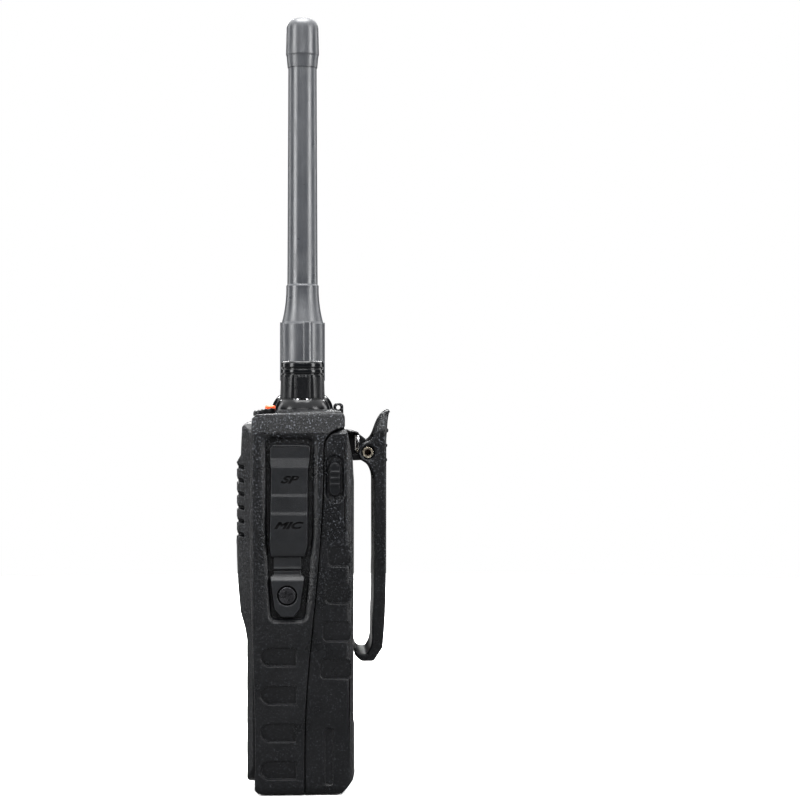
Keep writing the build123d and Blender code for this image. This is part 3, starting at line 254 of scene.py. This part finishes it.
# The painted glints fade from full at the upper height to the least share at the lower one. That is how the
# light falls on the real radio in its picture, not a difference in the plastic.
PAINTED_GLINT_SIZE, PAINTED_GLINT_HEIGHTS, PAINTED_GLINT_LEAST = 0.55, (60, 116), 0.22
SATIN, SATIN_WORN = (0.0038, 0.0041, 0.0048), (0.008, 0.0085, 0.0098)
LOOKS = {
    "case_plastic": moulded(
        "case plastic", BLACK, BLACK_WORN, 0.8, 0.22, 0.3, polished=tower_mask, painted_glint=PAINTED_GLINT_COLOUR,
    ),
    "pack_plastic": moulded("pack plastic", BLACK, BLACK_WORN, 0.75, 0.16, 0.29, painted_glint=PAINTED_GLINT_COLOUR),
    "bezel_plastic": moulded("bezel plastic", BLACK, BLACK_WORN, 0.7, 0.15, 0.3, painted_glint=PAINTED_GLINT_COLOUR),
    "latch_plastic": moulded("latch plastic", SATIN, SATIN_WORN, 0.3, 0.02, 0.32),
    "clip_plastic": moulded("clip plastic", BLACK, BLACK_WORN, 0.65, 0.16, 0.3, edge=0.4, painted_glint=PAINTED_GLINT_COLOUR),
    "bracket_plastic": moulded("bracket plastic", SATIN, SATIN_WORN, 0.3, 0.02, 0.34),
    "knob_plastic": moulded("knob plastic", SATIN, SATIN_WORN, 0.26, 0.03, 0.32, polished=knob_mask),
    "pad_plastic": moulded("pad plastic", SATIN, SATIN_WORN, 0.26, 0.03, 0.33),
    "component_plastic": moulded(
        "component plastic", (0.01, 0.01, 0.011), (0.02, 0.02, 0.022), 0.4, 0.02, 0.45,
    ),
    "orange_plastic": moulded(
        "orange plastic", (0.62, 0.075, 0.012), (0.78, 0.13, 0.03), 0.3, 0.015, 0.3, level=0.5,
    ),
}
LOOKS["antenna_rubber"] = rubber(
    "antenna rubber", (0.028, 0.03, 0.034), (0.04, 0.043, 0.048), 0.33, level=0.55,
)
LOOKS["side_rubber"] = rubber(
    "side rubber", (0.0055, 0.006, 0.007), (0.01, 0.011, 0.013), 0.36, grain=0.3, depth=0.06, level=0.26,
)
LOOKS["button_rubber"] = rubber("button rubber", (0.008, 0.0085, 0.0095), (0.016, 0.017, 0.019), 0.32)
LOOKS["grey_rubber"] = rubber("grey rubber", (0.03, 0.031, 0.034), (0.05, 0.052, 0.056), 0.42)
LOOKS["key_rubber"] = rubber("key rubber", (0.03, 0.031, 0.033), (0.05, 0.052, 0.055), 0.5)
LOOKS["mat_rubber"] = rubber("mat rubber", (0.05, 0.05, 0.052), (0.08, 0.08, 0.082), 0.55)
LOOKS["felt"] = rubber("felt", (0.004, 0.004, 0.004), (0.01, 0.01, 0.01), 0.9, 0.3, 0.08)
LOOKS["steel"] = metal("steel", (0.42, 0.42, 0.43), (0.2, 0.2, 0.21), 0.36)
LOOKS["black_steel"] = metal("black steel", (0.035, 0.035, 0.038), (0.07, 0.07, 0.075), 0.3)
LOOKS["speaker_metal"] = metal("speaker metal", (0.4, 0.4, 0.41), (0.26, 0.26, 0.27), 0.42)
LOOKS["shaft_metal"] = metal("shaft metal", (0.68, 0.68, 0.7), (0.45, 0.45, 0.47), 0.25)
LOOKS["cast_metal"] = metal("cast metal", (0.52, 0.52, 0.53), (0.36, 0.36, 0.37), 0.5, size=0.8, depth=0.03)
LOOKS["brass"] = metal("brass", (0.72, 0.52, 0.22), (0.42, 0.29, 0.12), 0.3)
LOOKS["contact_metal"] = metal("contact metal", (0.85, 0.62, 0.27), (0.6, 0.42, 0.18), 0.24)
LOOKS["bright_wire"] = metal("bright wire", (0.8, 0.79, 0.76), (0.6, 0.58, 0.54), 0.24)


def pin_material():
    """Nickel-plated pin, dark in the middle of its ends: a bore at +X, and only painted at -X."""
    material = metal("pin metal", (0.85, 0.78, 0.64), (0.66, 0.58, 0.46), 0.22)
    nodes, links = material.node_tree.nodes, material.node_tree.links
    place = nodes.new("ShaderNodeTexCoord")
    parts = nodes.new("ShaderNodeMapping")
    parts.inputs["Location"].default_value = (0, -PIN_Y, -PIN_Z)
    parts.inputs["Scale"].default_value = (0, 1000, 1000)
    links.new(place.outputs["Object"], parts.inputs["Vector"])
    reach = nodes.new("ShaderNodeVectorMath")
    reach.operation = "LENGTH"
    links.new(parts.outputs["Vector"], reach.inputs[0])
    edge = nodes.new("ShaderNodeMapRange")
    edge.inputs["From Min"].default_value, edge.inputs["From Max"].default_value = 1.0, 1.15
    links.new(reach.outputs["Value"], edge.inputs["Value"])
    blend = nodes.new("ShaderNodeMix")
    blend.data_type = "RGBA"
    links.new(edge.outputs["Result"], blend.inputs["Factor"])
    blend.inputs[6].default_value = (0.05, 0.032, 0.025, 1)
    surface = nodes["Principled BSDF"]
    links.new(surface.inputs["Base Color"].links[0].from_socket, blend.inputs[7])
    links.new(blend.outputs[2], surface.inputs["Base Color"])
    return material


def lens_material():
    """Clear hard-coated window."""
    shader = Shader("window")
    shader.colour((0.55, 0.6, 0.58))
    shader.rough(shader.ramp(shader.noise(5, 4, 0.7), 0.45, 0.75, 0.03, 0.12))
    shader.surface.inputs["Transmission Weight"].default_value = 1.0
    shader.surface.inputs["IOR"].default_value = 1.49
    shader.bump(shader.noise(0.5, 3, 0.6, shader.stretched((0.1, 1, 1))), 0.002)
    return shader.material


def panel_material():
    """Reflective display glass with a faint cell pattern."""
    shader = Shader("display panel")
    rows = shader.noise(0.5, 2, 0.5, shader.stretched((1, 1, 0.2)))
    shader.colour(shader.mix(shader.ramp(rows, 0.35, 0.65), (0.25, 0.29, 0.2), (0.3, 0.34, 0.24)))
    shader.rough(shader.ramp(shader.noise(3), 0.3, 0.7, 0.3, 0.42))
    return shader.material


def board_material():
    """Green solder mask with tracks."""
    shader = Shader("circuit board")
    tracks = shader.ramp(shader.cells(1.6, "DISTANCE_TO_EDGE"), 0.04, 0.08)
    shader.colour(shader.mix(tracks, (0.03, 0.13, 0.05), (0.012, 0.07, 0.028)))
    shader.rough(shader.ramp(shader.noise(4), 0.3, 0.7, 0.3, 0.45))
    shader.bump(tracks, 0.03)
    return shader.material


def label_material():
    """Printed foil: pale, faintly brushed and rubbed at random."""
    shader = Shader("label foil")
    rub = shader.ramp(shader.noise(6, 5, 0.7), 0.55, 0.8)
    shader.colour(shader.mix(rub, (0.66, 0.66, 0.65), (0.5, 0.5, 0.49)))
    shader.rough(shader.ramp(shader.noise(0.5, 2, 0.5, shader.stretched((0.08, 1, 1))), 0.3, 0.7, 0.3, 0.46))
    shader.bump(shader.noise(1.4, 3), 0.012)
    return shader.material


def cell_material():
    """Shrink film round the cells."""
    shader = Shader("shrink film")
    shader.colour(shader.mix(shader.ramp(shader.noise(8, 3), 0.4, 0.6), (0.03, 0.07, 0.2), (0.05, 0.1, 0.26)))
    shader.rough(shader.ramp(shader.noise(2.4, 4), 0.3, 0.7, 0.2, 0.36))
    shader.bump(shader.noise(3, 3), 0.08)
    return shader.material


def lamp_material():
    """Translucent red lamp lens."""
    shader = Shader("lamp lens")
    shader.colour(shader.mix(shader.ramp(shader.noise(0.8), 0.3, 0.7), (0.55, 0.05, 0.03), (0.7, 0.09, 0.05)))
    shader.rough(shader.ramp(shader.noise(0.5), 0.3, 0.7, 0.12, 0.25))
    shader.surface.inputs["Transmission Weight"].default_value = 0.4
    return shader.material


LOOKS["pin_metal"] = pin_material()
LOOKS["lens"] = lens_material()
LOOKS["panel"] = panel_material()
LOOKS["board"] = board_material()
LOOKS["label"] = label_material()
LOOKS["cells"] = cell_material()
LOOKS["lamp"] = lamp_material()
GLOSS_BLACK = moulded(
    "polished black", (0.006, 0.006, 0.007), (0.012, 0.012, 0.013), 0.5, 0.004, 0.14, level=0.6,
)
# Dark print on the label, and painted shade on the walls and floors of the letters sunk into the cover and
# the push-to-talk key.
DARK_PRINT_AND_PAINTED_SHADE = moulded(
    "sunk marking", (0.0008, 0.0008, 0.001), (0.0016, 0.0016, 0.002), 0.2, 0.01, 0.5, level=0.1,
)
MARK_WHITE = rubber("white marking", (0.5, 0.5, 0.49), (0.36, 0.36, 0.35), 0.5)

SLOTS = {part["node"]: part["material_slot"] for part in frame["record"]["subparts"]}


# ---------------------------------------------------------------- pieces

PRINT = 0.03  # millimetres that the label's print stands proud
MERGE = 0.002  # millimetres between points of a CAD mesh that are one point
FLAT = 0.4  # degrees between facets that lie in one plane


def finished(mesh, name, body, slot_name, *nodes, look=None):
    """Puts a mesh in the scene with its material, on its body, in place of any CAD nodes named."""
    piece = bpy.data.objects.new(name, mesh)
    bpy.context.scene.collection.objects.link(piece)
    mesh.materials.clear()
    mesh.materials.append(look or LOOKS[slot_name])
    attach(piece, body)
    if nodes:
        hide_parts(*nodes)
    return piece


def softened(node, width, sharp=28, segments=2, spare=None):
    """Copies a CAD node's mesh with its sharp edges cut back to a small round.

    Edges within the distance of the line along X that spare gives, as y, z, distance, stay sharp.
    """
    work = bmesh.new()
    work.from_mesh(frame["nodes"][node].data)
    bmesh.ops.remove_doubles(work, verts=work.verts, dist=MERGE * MM)
    before = BVHTree.FromBMesh(work)
    bmesh.ops.dissolve_limit(work, angle_limit=radians(FLAT), verts=work.verts, edges=work.edges)
    edges = [e for e in work.edges if e.is_manifold and e.calc_face_angle(0) > radians(sharp)]
    if spare:
        line, reach = Vector((spare[0], spare[1])) * MM, spare[2] * MM
        edges = [e for e in edges if min((v.co.yz - line).length for v in e.verts) > reach]
    bmesh.ops.bevel(
        work, geom=edges, offset=width * MM, segments=segments, profile=0.5, affect="EDGES",
        clamp_overlap=False, loop_slide=True, miter_outer="ARC",
    )
    for vert in work.verts:
        spot, _, _, distance = before.find_nearest(vert.co)
        if distance > width * MM:
            vert.co = spot
    bmesh.ops.triangulate(work, faces=[f for f in work.faces if len(f.verts) > 4])
    for face in work.faces:
        face.smooth = True
    mesh = bpy.data.meshes.new(node + " softened")
    work.to_mesh(mesh)
    work.free()
    return mesh


def applied(piece, kind, **settings):
    """Adds a modifier to a piece and applies it to its mesh."""
    modifier = piece.modifiers.new(kind, kind)
    for name, value in settings.items():
        setattr(modifier, name, value)
    bpy.context.view_layer.update()
    graph = bpy.context.evaluated_depsgraph_get()
    mesh = bpy.data.meshes.new_from_object(
        piece.evaluated_get(graph), preserve_all_data_layers=True, depsgraph=graph,
    )
    piece.modifiers.clear()
    piece.data = mesh


def lettering(text, height, bold=0.0, slant=0.0, wide=1.0, thick=0.3):
    """A mesh of letters, centred on their own plane, height millimetres tall and thick either side."""
    curve = bpy.data.curves.new(text, "FONT")
    curve.body = text
    curve.align_x, curve.align_y = "CENTER", "CENTER"
    curve.size = height * 1.38
    curve.shear = slant
    curve.offset = bold
    curve.extrude = thick
    curve.resolution_u = 3
    holder = bpy.data.objects.new(text, curve)
    bpy.context.scene.collection.objects.link(holder)
    bpy.context.view_layer.update()
    graph = bpy.context.evaluated_depsgraph_get()
    mesh = bpy.data.meshes.new_from_object(holder.evaluated_get(graph), depsgraph=graph)
    bpy.data.objects.remove(holder)
    mesh.transform(Matrix.Diagonal((wide * MM, MM, MM, 1)))
    work = bmesh.new()
    work.from_mesh(mesh)
    bmesh.ops.remove_doubles(work, verts=work.verts, dist=1e-7)
    work.to_mesh(mesh)
    work.free()
    return mesh


def turned(right, up, at):
    """The matrix that lays a flat drawing with its right and up along two axes, at a place in millimetres."""
    right, up = Vector(right), Vector(up)
    out = right.cross(up)
    matrix = Matrix((right, up, out)).transposed().to_4x4()
    matrix.translation = Vector(at) * MM
    return matrix


RIGHT_SIDE = ((0, 1, 0), (0, 0, 1))
LEFT_SIDE = ((0, -1, 0), (0, 0, 1))
FRONT = ((1, 0, 0), (0, 0, 1))
BACK = ((-1, 0, 0), (0, 0, 1))


def sunk(piece, mesh):
    """Cuts letters out of a piece and colours their walls and floors with the dark material, as painted
    shade.
    """
    mesh.materials.append(DARK_PRINT_AND_PAINTED_SHADE)
    cutter = bpy.data.objects.new("cutter", mesh)
    bpy.context.scene.collection.objects.link(cutter)
    applied(piece, "BOOLEAN", object=cutter, operation="DIFFERENCE", solver="EXACT", use_self=True,
            material_mode="TRANSFER")
    bpy.data.objects.remove(cutter)


def soft_piece(node, width, marks=(), **settings):
    """Stands for a CAD node with rounded edges and any letters sunk into it."""
    piece = finished(softened(node, width, **settings), node + "_soft", BODY_OF[node], SLOTS[node], node)
    for mesh in marks:
        sunk(piece, mesh)
    applied(piece, "WEIGHTED_NORMAL", keep_sharp=False, weight=60)
    return piece


BODY_OF = {name: body for body, names in frame["record"]["behaviour"]["bodies"].items() for name in names}

for name, node in frame["nodes"].items():
    node.data.materials.clear()
    node.data.materials.append(LOOKS[SLOTS[name]])

for name, width in (
    ("bezel", 0.25), ("cover_foot", 0.25), ("side_frame", 0.2), ("side_key_upper", 0.15),
    ("side_key_lower", 0.15), ("round_key", 0.2), ("latch_right", 0.12), ("latch_left", 0.12),
    ("clip_bracket", 0.3), ("knob", 0.12), ("top_pad", 0.2),
):
    soft_piece(name, width)
soft_piece("front_case", 0.22, sharp=38)
soft_piece("pack_shell", 0.2, sharp=38)
soft_piece("belt_clip", 0.6, segments=3, spare=(PIN_Y, PIN_Z, 3.4))


def cover_flap():
    """The rubber cover with its two sunk markings."""
    depth = 0.35
    speaker = lettering("SP", 2.2, bold=0.14, slant=0.4, wide=1.6, thick=depth)
    speaker.transform(turned(*RIGHT_SIDE, (29.0, -4.55, 98.5)))
    microphone = lettering("MIC", 2.1, bold=0.14, slant=0.4, wide=1.6, thick=depth)
    microphone.transform(turned(*RIGHT_SIDE, (29.6, -4.8, 84.3)))
    soft_piece("cover_flap", 0.18, sharp=12, marks=(speaker, microphone))


def ptt_key():
    """The push-to-talk key with its sunk marking."""
    mark = lettering("PTT", 2.0, bold=0.12, slant=0.35, wide=1.5, thick=0.3)
    mark.transform(turned(*LEFT_SIDE, (-31.0, -4.9, 94.6)))
    soft_piece("ptt_key", 0.15, marks=(mark,))


def raised(piece_name, mesh, place, body, slot_name, look):
    """Lays a flat drawing on a face of a body, as a print that stands a hair proud."""
    mesh.transform(place)
    finished(mesh, piece_name, body, slot_name, look=look)


def key_figures():
    """White figures printed on the keys of the keypad."""
    signs = {"key_star": "*", "key_hash": "#"}
    for node in (name for name in frame["nodes"] if name.startswith("key_")):
        if SLOTS[node] != "key_rubber":
            continue
        low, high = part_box(node)
        text = signs.get(node, node[-1])
        drop = 0.9 if text == "*" else 0.0
        at = ((low[0] + high[0]) / 2 / MM, low[1] / MM, (low[2] + high[2]) / 2 / MM - drop)
        raised(node + "_figure", lettering(text, 3.6, bold=0.03, thick=0.04), turned(*FRONT, at),
               node, "key_rubber", MARK_WHITE)


def frame_mesh(name, outer, inner, thick):
    """A flat rectangular frame in its own plane; outer and inner are half sizes in millimetres."""
    work = bmesh.new()
    loops = []
    for half_width, half_height in (outer, inner):
        corners = ((-1, -1), (1, -1), (1, 1), (-1, 1))
        loops.append([work.verts.new((a * half_width * MM, b * half_height * MM, 0)) for a, b in corners])
    rim, hole = loops
    faces = [work.faces.new((rim[i - 1], rim[i], hole[i], hole[i - 1])) for i in (1, 2, 3, 0)]
    raised_part = bmesh.ops.extrude_face_region(work, geom=faces)["geom"]
    top = [item for item in raised_part if isinstance(item, bmesh.types.BMVert)]
    bmesh.ops.translate(work, vec=(0, 0, thick * MM), verts=top)
    bmesh.ops.recalc_face_normals(work, faces=work.faces)
    mesh = bpy.data.meshes.new(name)
    work.to_mesh(mesh)
    work.free()
    return mesh


def bars_mesh(name, bars, thick):
    """Flat bars in one plane, each from its middle and half sizes in millimetres."""
    work = bmesh.new()
    for middle, up, half_width, half_height in bars:
        place = Matrix.Translation((middle * MM, up * MM, thick * MM / 2))
        size = Matrix.Diagonal((2 * half_width * MM, 2 * half_height * MM, thick * MM, 1))
        bmesh.ops.create_cube(work, size=1, matrix=place @ size)
    mesh = bpy.data.meshes.new(name)
    work.to_mesh(mesh)
    work.free()
    return mesh


def lens_border():
    """The black border printed behind the window."""
    low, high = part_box("display_lens")
    half = ((high[0] - low[0]) / 2 / MM - 0.2, (high[2] - low[2]) / 2 / MM - 0.2)
    inner = (half[0] - 2.2, half[1] - 1.8)
    at = (0, high[1] / MM + 0.1, (low[2] + high[2]) / 2 / MM)
    raised("window_border", frame_mesh("window border", half, inner, 0.06), turned(*FRONT, at),
           "housing", "lens", GLOSS_BLACK)


def label_print():
    """Plain rules and blocks on the label of the battery pack."""
    low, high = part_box("pack_label")
    half_width, half_height = (high[0] - low[0]) / 2 / MM, (high[2] - low[2]) / 2 / MM
    middle = (low[2] + high[2]) / 2 / MM
    place = turned(*BACK, (0, high[1] / MM, middle))
    rules = [(0, half_height - 9 - 4.2 * row, half_width - 4, 0.12) for row in range(7)]
    blocks = [(-half_width + 8, half_height - 5, 4.0, 1.5), (half_width - 9, half_height - 5, 5.0, 0.7)]
    ticks = [(half_width - 7 - 2.2 * n, -half_height + 6, 0.7, 2.6) for n in range(6)]
    bars = bars_mesh("label rules", rules + blocks + ticks, PRINT)
    raised("label_rules", bars, place, "pack", "label", DARK_PRINT_AND_PAINTED_SHADE)
    outer = (half_width - 1.5, half_height - 1.5)
    inner = (half_width - 1.9, half_height - 1.9)
    border = frame_mesh("label border", outer, inner, PRINT)
    raised("label_border", border, place, "pack", "label", DARK_PRINT_AND_PAINTED_SHADE)


def wire(name, points, diameter):
    """A tube mesh along a run of points in millimetres."""
    curve = bpy.data.curves.new(name, "CURVE")
    curve.dimensions = "3D"
    curve.bevel_depth = diameter * MM / 2
    curve.bevel_resolution = 3
    curve.use_fill_caps = True
    line = curve.splines.new("POLY")
    line.points.add(len(points) - 1)
    for point, place in zip(line.points, points):
        point.co = (*(n * MM for n in place), 1)
    holder = bpy.data.objects.new(name, curve)
    bpy.context.scene.collection.objects.link(holder)
    bpy.context.view_layer.update()
    mesh = bpy.data.meshes.new_from_object(holder.evaluated_get(bpy.context.evaluated_depsgraph_get()))
    bpy.data.objects.remove(holder)
    for face in mesh.polygons:
        face.use_smooth = True
    return mesh


def torsion_spring():
    """The clip's spring: two wound coils round the pin, each with a leg against the battery pack."""
    radius, gauge, turns, steps = 2.15, 0.8, 5.0, 24
    inner, outer = 2.6, 6.6
    work = bmesh.new()
    for side in (-1, 1):
        points = []
        for step in range(int(turns * steps) + 1):
            share = step / (turns * steps)
            angle = pi + 2 * pi * turns * (share - 1)
            across = side * (inner + (outer - inner) * share)
            points.append((across, PIN_Y + radius * cos(angle), PIN_Z + radius * sin(angle)))
        points += [
            (side * (outer + 0.25), PIN_Y - radius, PIN_Z + 0.25),
            (side * (outer + 0.9), PIN_Y - radius, PIN_Z + 0.3),
            (side * 10.6, PIN_Y - radius, PIN_Z + 0.1),
            (side * 14.0, LEG_Y + 0.25, PIN_Z + 0.3),
            (side * 14.5, LEG_Y + 0.06, PIN_Z + 0.55),
            (side * LEG_X, LEG_Y, PIN_Z + 1.0),
            (side * LEG_X, LEG_Y, LEG_TOP),
        ]
        work.from_mesh(wire("spring", points, gauge))
    mesh = bpy.data.meshes.new("torsion spring")
    work.to_mesh(mesh)
    work.free()
    finished(mesh, "torsion_spring", "pack", SLOTS["clip_spring"], "clip_spring", look=LOOKS["bright_wire"])


def between(share, before, start, stop, after):
    """The point a share of the way from start to stop on the smooth curve through four points."""
    return [
        0.5 * (2 * b + (c - a) * share + (2 * a - 5 * b + 4 * c - d) * share ** 2
               + (3 * b - a - 3 * c + d) * share ** 3)
        for a, b, c, d in zip(before, start, stop, after)
    ]


def seam_line():
    """The seam's (y, z) points in millimetres, from the foot up and back over the top of the pack."""
    ends = [SEAM[0], *SEAM, (SEAM[-1][0], SEAM[-1][1] + 8)]
    points = [
        between(step / SEAM_STEPS, *four)
        for four in zip(ends, ends[1:], ends[2:], ends[3:])
        for step in range(SEAM_STEPS)
    ]
    y, z = SEAM[-1]
    for step in range(SEAM_ARC_STEPS + 1):
        turn = radians(SEAM_ARC) * step / SEAM_ARC_STEPS
        points.append([y + SEAM_RADIUS * (1 - cos(turn)), z + SEAM_RADIUS * sin(turn)])
    points.append([points[-1][0] + 1.6, points[-1][1] + 0.45])
    return points


def seam_shade_strip():
    """A thin strip of dark side rubber on each side, behind the seam between the case and the battery pack,
    as painted shade in the joint.

    The CAD parts leave a gap there that light would show through.
    """
    points = seam_line()
    work = bmesh.new()
    for side in (-1, 1):
        rows = []
        for place, ahead, behind in zip(points, points[1:] + points[-1:], points[:1] + points):
            along = (Vector(ahead) - Vector(behind)).normalized()
            out = Vector((along.y, -along.x))
            row = []
            for across, off in ((0, 0), (1, 0), (1, 1), (0, 1)):
                y, z = Vector(place) + out * SHADE_STRIP_THICK * off
                row.append(work.verts.new(Vector((side * (SHADE_STRIP_X + SHADE_STRIP_WIDE * across), y, z)) * MM))
            rows.append(row)
        for first, second in zip(rows, rows[1:]):
            for i in range(4):
                work.faces.new((first[i], first[(i + 1) % 4], second[(i + 1) % 4], second[i]))
        work.faces.new(rows[0])
        work.faces.new(rows[-1][::-1])
    bmesh.ops.recalc_face_normals(work, faces=work.faces)
    mesh = bpy.data.meshes.new("seam shade strip")
    work.to_mesh(mesh)
    work.free()
    finished(mesh, "seam_shade_strip", "housing", "side_rubber", look=LOOKS["side_rubber"])


cover_flap()
ptt_key()
seam_shade_strip()
key_figures()
lens_border()
label_print()
torsion_spring()

# ---------------------------------------------------------------- stage

# The camera stands level with the top of the case, square to the side, and is turned a little past
# the radio, which so stands left of the middle.
AZIMUTH, DISTANCE, EYE_HEIGHT, LENS = radians(90), 0.75, 0.1235, 104
PAN, SENSOR = radians(2.416), 36
GAMMA = 0.88  # below 1 this darkens the picture's mid tones; the model and its materials don't have it
DIM, BRIGHT = 0.008, 3.2
CASE_TOP = 0.12
BOX_SIZE, BOX_HEIGHT, BOX_SPREAD = (0.3, 0.8), 0.32, radians(60)  # the spread is from square on to a side
COVER_SIDE_POWER, TALK_SIDE_POWER = 14.5, 4.0  # watts: the side that the camera sees has the stronger light
STRIP_SIZE, STRIP_HEIGHT, STRIP_POWER = (0.9, 0.08), 0.55, 5.0
TOP_SIZE, TOP_HEIGHT, TOP_POWER = (0.9, 0.9), 1.3, 45.0


def studio_world():
    """White surroundings as the camera sees them; as a light, dim round about and bright overhead."""
    world = bpy.data.worlds.new("studio")
    bpy.context.scene.world = world
    world.use_nodes = True
    nodes, links = world.node_tree.nodes, world.node_tree.links
    place = nodes.new("ShaderNodeTexCoord")
    parts = nodes.new("ShaderNodeSeparateXYZ")
    links.new(place.outputs["Generated"], parts.inputs["Vector"])
    glow = nodes.new("ShaderNodeMapRange")
    glow.interpolation_type = "SMOOTHSTEP"
    for name, number in (("From Min", 0.32), ("From Max", 0.6), ("To Min", DIM), ("To Max", BRIGHT)):
        glow.inputs[name].default_value = number
    links.new(parts.outputs["Z"], glow.inputs["Value"])
    seen = nodes.new("ShaderNodeLightPath")
    strength = nodes.new("ShaderNodeMix")
    links.new(seen.outputs["Is Camera Ray"], strength.inputs["Factor"])
    links.new(glow.outputs["Result"], strength.inputs["A"])
    strength.inputs["B"].default_value = 1.0
    nodes["Background"].inputs["Color"].default_value = (1, 1, 1, 1)
    links.new(strength.outputs["Result"], nodes["Background"].inputs["Strength"])


def area_light(name, size, power, place):
    """A rectangular light that faces the radio."""
    light = bpy.data.lights.new(name, "AREA")
    light.energy = power
    light.shape = "RECTANGLE"
    light.size, light.size_y = size
    lamp = bpy.data.objects.new(name, light)
    bpy.context.scene.collection.objects.link(lamp)
    lamp.location = place
    lamp.rotation_euler = (Vector((0, 0, CASE_TOP)) - lamp.location).to_track_quat("-Z", "Y").to_euler()


def stage_and_camera():
    """Pale floor, soft lights and a camera in the place of the photographer's.

    The camera sees the floor pale, but the radio is lit as if by a darker one.
    """
    floor_look = Shader("pale floor")
    seen = floor_look.nodes.new("ShaderNodeLightPath")
    floor_look.colour(floor_look.mix(seen.outputs["Is Camera Ray"], (0.2, 0.2, 0.2), (0.85, 0.85, 0.85)))
    floor_look.surface.inputs["Roughness"].default_value = 0.9
    floor_look.surface.inputs["Specular IOR Level"].default_value = 0.1
    bpy.ops.mesh.primitive_circle_add(vertices=96, radius=0.9, fill_type="NGON", location=(0, 0, -0.0003))
    floor = bpy.context.object
    floor.data.materials.append(floor_look.material)
    studio_world()

    area_light("top box", TOP_SIZE, TOP_POWER, (0, 0, TOP_HEIGHT))
    for side, power in ((0, COVER_SIDE_POWER), (pi, TALK_SIDE_POWER)):
        for turn in (-BOX_SPREAD, BOX_SPREAD):
            area_light("side box", BOX_SIZE, power, (cos(side + turn), sin(side + turn), BOX_HEIGHT))
        area_light("strip", STRIP_SIZE, STRIP_POWER, (cos(side), 0, STRIP_HEIGHT))

    camera = bpy.data.cameras.new("camera")
    camera.sensor_width = SENSOR
    camera.lens = LENS
    holder = bpy.data.objects.new("camera", camera)
    bpy.context.scene.collection.objects.link(holder)
    holder.location = (DISTANCE * sin(AZIMUTH), -DISTANCE * cos(AZIMUTH), EYE_HEIGHT)
    holder.rotation_euler = (pi / 2, 0, AZIMUTH - PAN)
    bpy.context.scene.camera = holder
    bpy.context.scene.view_settings.view_transform = "Standard"
    bpy.context.scene.view_settings.gamma = GAMMA


stage_and_camera()
